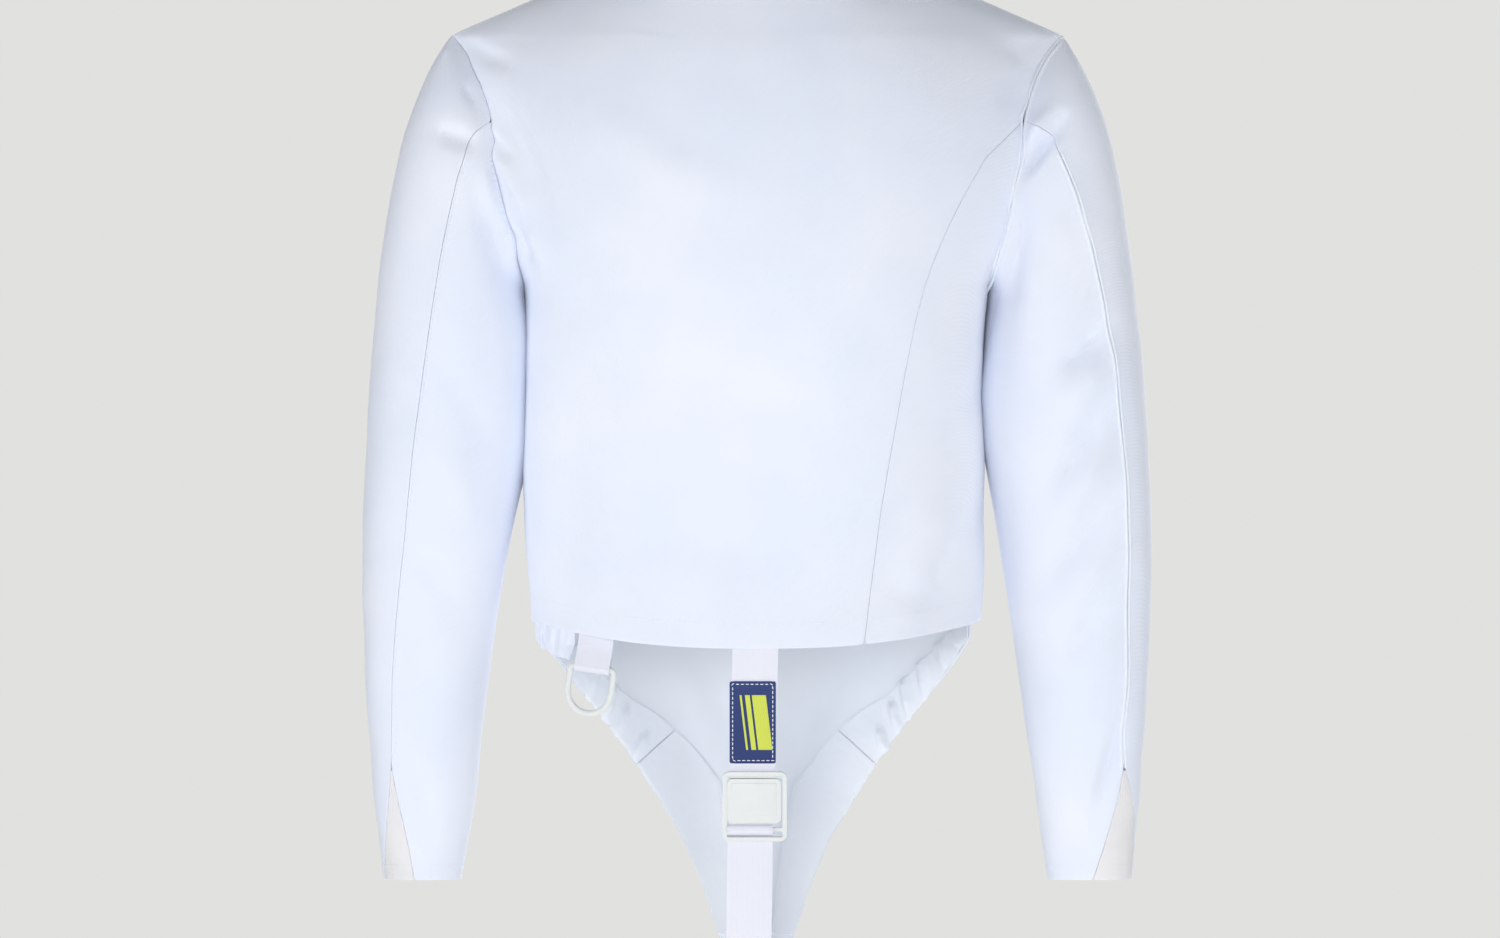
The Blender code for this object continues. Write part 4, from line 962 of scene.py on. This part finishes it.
label = copy_of_node("strap_label", "strap_label_woven")
finer(label, 3, 0.7)
label.data.transform(Matrix.Translation((0, 0, LABEL_RAISE)))
finished(label, navy, "strap_label")
label_surface = surface_of(label)
low, high = (Vector(corner) + Vector((0, 0, LABEL_RAISE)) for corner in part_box("strap_label"))
centre = (low + high) / 2


def on_label(x, z):
    place, normal, _, _ = label_surface.ray_cast(Vector((x, 0.3, z)), Vector((0, -1, 0)))
    return place, normal


corners = [(low.x, low.z), (high.x, low.z), (high.x, high.z), (low.x, high.z), (low.x, low.z)]
border = []
for (x0, z0), (x1, z1) in zip(corners[:-1], corners[1:]):
    for share in np.linspace(0, 1, 60)[:-1]:
        x = min(max(x0 + (x1 - x0) * share, low.x + LABEL_BORDER), high.x - LABEL_BORDER)
        z = min(max(z0 + (z1 - z0) * share, low.z + LABEL_BORDER), high.z - LABEL_BORDER)
        border.append(on_label(x, z)[0])
border = [p for k, p in enumerate(border) if k == 0 or (p - border[k - 1]).length > 0.1 * MM]
along = np.concatenate([[0], np.cumsum([(b - a).length for a, b in zip(border[:-1], border[1:])])])
at = np.arange(0, along[-1], LABEL_STITCH_PITCH)
dashes = np.stack([np.interp(at, along, [p[k] for p in border]) for k in range(3)], axis=1)
places, normals = zip(*(on_label(p[0], p[2]) for p in dashes))
line = [place + normal * 0.1 * MM for place, normal in zip(places, normals)]
label_stitch = stitch_of(*LABEL_STITCH)
strew("label_border_stitches", label_stitch, frames_along(line, normals), thread)
bpy.data.objects.remove(label_stitch)

for k, (across, width) in enumerate(LABEL_BARS):
    bpy.ops.mesh.primitive_grid_add(x_subdivisions=4, y_subdivisions=24, size=1)
    bar = bpy.context.object
    bar.name = f"label_bar_{k}"
    points = points_of(bar)
    up = points[:, 1] * BAR_LENGTH
    x = centre.x - across * MM + points[:, 0] * width * MM + up * BAR_SLANT
    laid = []
    for px, pz in zip(x, centre.z + up):
        place, normal = on_label(px, pz)
        laid.append(place + normal * BAR_LIFT)
    set_points(bar, np.array(laid))
    apply_modifier(bar, "SOLIDIFY", thickness=BAR_CLOTH, offset=0.0)
    smooth_shade(bar, FIRM_ANGLE)
    finished(bar, lime_yarn)


# ---- buckle ------------------------------------------------------------------
# Injection-moulded acetal in natural white: a frame with a bar for each strap and a lever plate that
# clamps the upper strap. Satin, faintly see-through, with softly rounded edges.
FLOW_SIZE, FLOW_RELIEF = 7.143 * MM, 0.2 * MM
MOULD_ANGLE = math.radians(30)
BUCKLE_LEAN = math.radians(-11)
THUMB_PANEL, THUMB_PLACE, THUMB_EDGE = (33 * MM, 0.9 * MM, 25 * MM), (0, 1.35 * MM, 1.2 * MM), 0.42 * MM
PIN_RADIUS, PIN_LENGTH, PIN_PLACE = 1.0 * MM, 41.5 * MM, (-0.4 * MM, -0.6 * MM, 18.2 * MM)

acetal, tree, shader, place = new_material("moulded_acetal")
flow = add_node(
    tree, "ShaderNodeTexNoise", {"Vector": place, "Scale": 1 / FLOW_SIZE, "Detail": 4.0}
).outputs["Fac"]
ramp = add_node(tree, "ShaderNodeValToRGB", {"Fac": flow})
for element, code in zip(ramp.color_ramp.elements, ("#e0e4e6", "#e8ecec")):
    element.color = linear(code)
bump = add_node(tree, "ShaderNodeBump", {"Height": flow, "Strength": 0.12, "Distance": FLOW_RELIEF})
set_inputs(shader, {"Base Color": ramp.outputs["Color"], "Normal": bump.outputs["Normal"]})
set_inputs(shader, {"Roughness": 0.38, "IOR": 1.48})
set_inputs(shader, {"Subsurface Weight": 0.08, "Subsurface Scale": 1.5 * MM})


def moulded(node, edge):
    """A plastic or metal piece from its CAD node, with its sharp edges rounded as in a mould."""
    piece = copy_of_node(node, node + "_moulded")
    apply_modifier(piece, "BEVEL", width=edge, segments=3, limit_method="ANGLE", angle_limit=MOULD_ANGLE)
    smooth_shade(piece, HARD_ANGLE)
    return piece


for node, edge in (("buckle_frame", 0.7 * MM), ("buckle_lever", 0.8 * MM)):
    finished(moulded(node, edge), acetal, node)

# the lever's shallow thumb panel, and its hinge pin under the frame's top bar
low, high = (Vector(corner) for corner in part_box("buckle_lever"))
leaning = Matrix.Translation((low + high) / 2) @ Matrix.Rotation(BUCKLE_LEAN, 4, "X")
bpy.ops.mesh.primitive_cube_add(size=1)
panel = bpy.context.object
panel.name = "lever_thumb_panel"
panel.data.transform(leaning @ Matrix.Translation(THUMB_PLACE) @ Matrix.Diagonal((*THUMB_PANEL, 1)))
apply_modifier(panel, "BEVEL", width=THUMB_EDGE, segments=3)
bpy.ops.mesh.primitive_cylinder_add(vertices=20, radius=PIN_RADIUS, depth=PIN_LENGTH)
pin = bpy.context.object
pin.name = "lever_hinge_pin"
pin.data.transform(leaning @ Matrix.Translation(PIN_PLACE) @ Matrix.Rotation(math.pi / 2, 4, "Y"))
for piece in (panel, pin):
    smooth_shade(piece, HARD_ANGLE)
    finished(piece, acetal)


# ---- D-ring ------------------------------------------------------------------
# Moulded of the same acetal, round in section, with a straight bar that turns in its webbing tab.
RING_FULLER = 0.6 * MM  # what the smoothing takes off the wire
ring = copy_of_node("d_ring", "d_ring_moulded")
finer(ring, 2, 0.0)
normals = np.array([vertex.normal for vertex in ring.data.vertices])
set_points(ring, points_of(ring) + normals * RING_FULLER)
finished(ring, acetal, "d_ring", "d_ring")


# ---- zip ---------------------------------------------------------------------
# A moulded zip with white acetal teeth on woven tapes, and a white-coated zinc slider and pull. Closed
# to near the collar's top.
TOOTH = {"across": 3.4 * MM, "long": 1.5 * MM, "deep": 1.9 * MM}
TOOTH_PITCH = 2.6 * MM
TEETH_APART = 1.15 * MM  # from the chain's middle to the middle of a tooth
TOOTH_SUNK = 0.15  # of its depth lies in the tape
CHAIN_TOP, CHAIN_FOOT, CHAIN_STEP, TAPE_STEP = 12 * MM, 6 * MM, 4 * MM, 0.5 * MM
PEEL_SIZE = 1.111 * MM

tape = copy_of_node("zip_tape", "zip_tape_woven")
finer(tape, 2, 0.7)
finished(tape, webbing, "zip_tape")

low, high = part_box("zip_tape")
tape_surface = surface_of(tape)
chain = []
for height in np.arange(high[2] - CHAIN_TOP, low[2] + CHAIN_FOOT, -CHAIN_STEP):
    met = []
    for x in np.arange(low[0], high[0], TAPE_STEP):
        place, _, _, _ = tape_surface.ray_cast(Vector((x, -0.4, height)), Vector((0, 1, 0)))
        if place:
            met.append(place)
    if met:
        chain.append((met[0] + met[-1]) / 2)
chain = even_line(chain, TOOTH_PITCH / 2)
bpy.ops.mesh.primitive_cube_add(size=1)
tooth = bpy.context.object
tooth.data.transform(Matrix.Diagonal((TOOTH["long"], TOOTH["across"], TOOTH["deep"], 1)))
apply_modifier(tooth, "BEVEL", width=0.35 * MM, segments=1)
normals = [tape_surface.find_nearest(Vector(point))[1] for point in chain]
teeth = frames_along(chain, normals)
for k, (turned, normal) in enumerate(zip(teeth, normals)):
    hand = 1 if k % 2 else -1
    aside, raised = turned.col[1].xyz * hand * TEETH_APART, normal * TOOTH["deep"] * (0.5 - TOOTH_SUNK)
    turned.translation += aside + raised
strew("zip_teeth", tooth, teeth[1::2] + teeth[::2], acetal)
bpy.data.objects.remove(tooth)

coated_zinc, tree, shader, place = new_material("coated_zinc")
peel = add_node(tree, "ShaderNodeTexNoise", {"Vector": place, "Scale": 1 / PEEL_SIZE}).outputs["Fac"]
bump = add_node(tree, "ShaderNodeBump", {"Height": peel, "Strength": 0.1, "Distance": FINE_RELIEF})
set_inputs(shader, {"Base Color": linear("#e6e7ea"), "Normal": bump.outputs["Normal"]})
set_inputs(shader, {"Roughness": 0.32, "Coat Weight": 0.4})
for node, body in (("zip_slider", "jacket"), ("zip_pull", "zip_pull")):
    finished(moulded(node, 0.25 * MM), coated_zinc, node, body)

bpy.data.objects.remove(stitch)
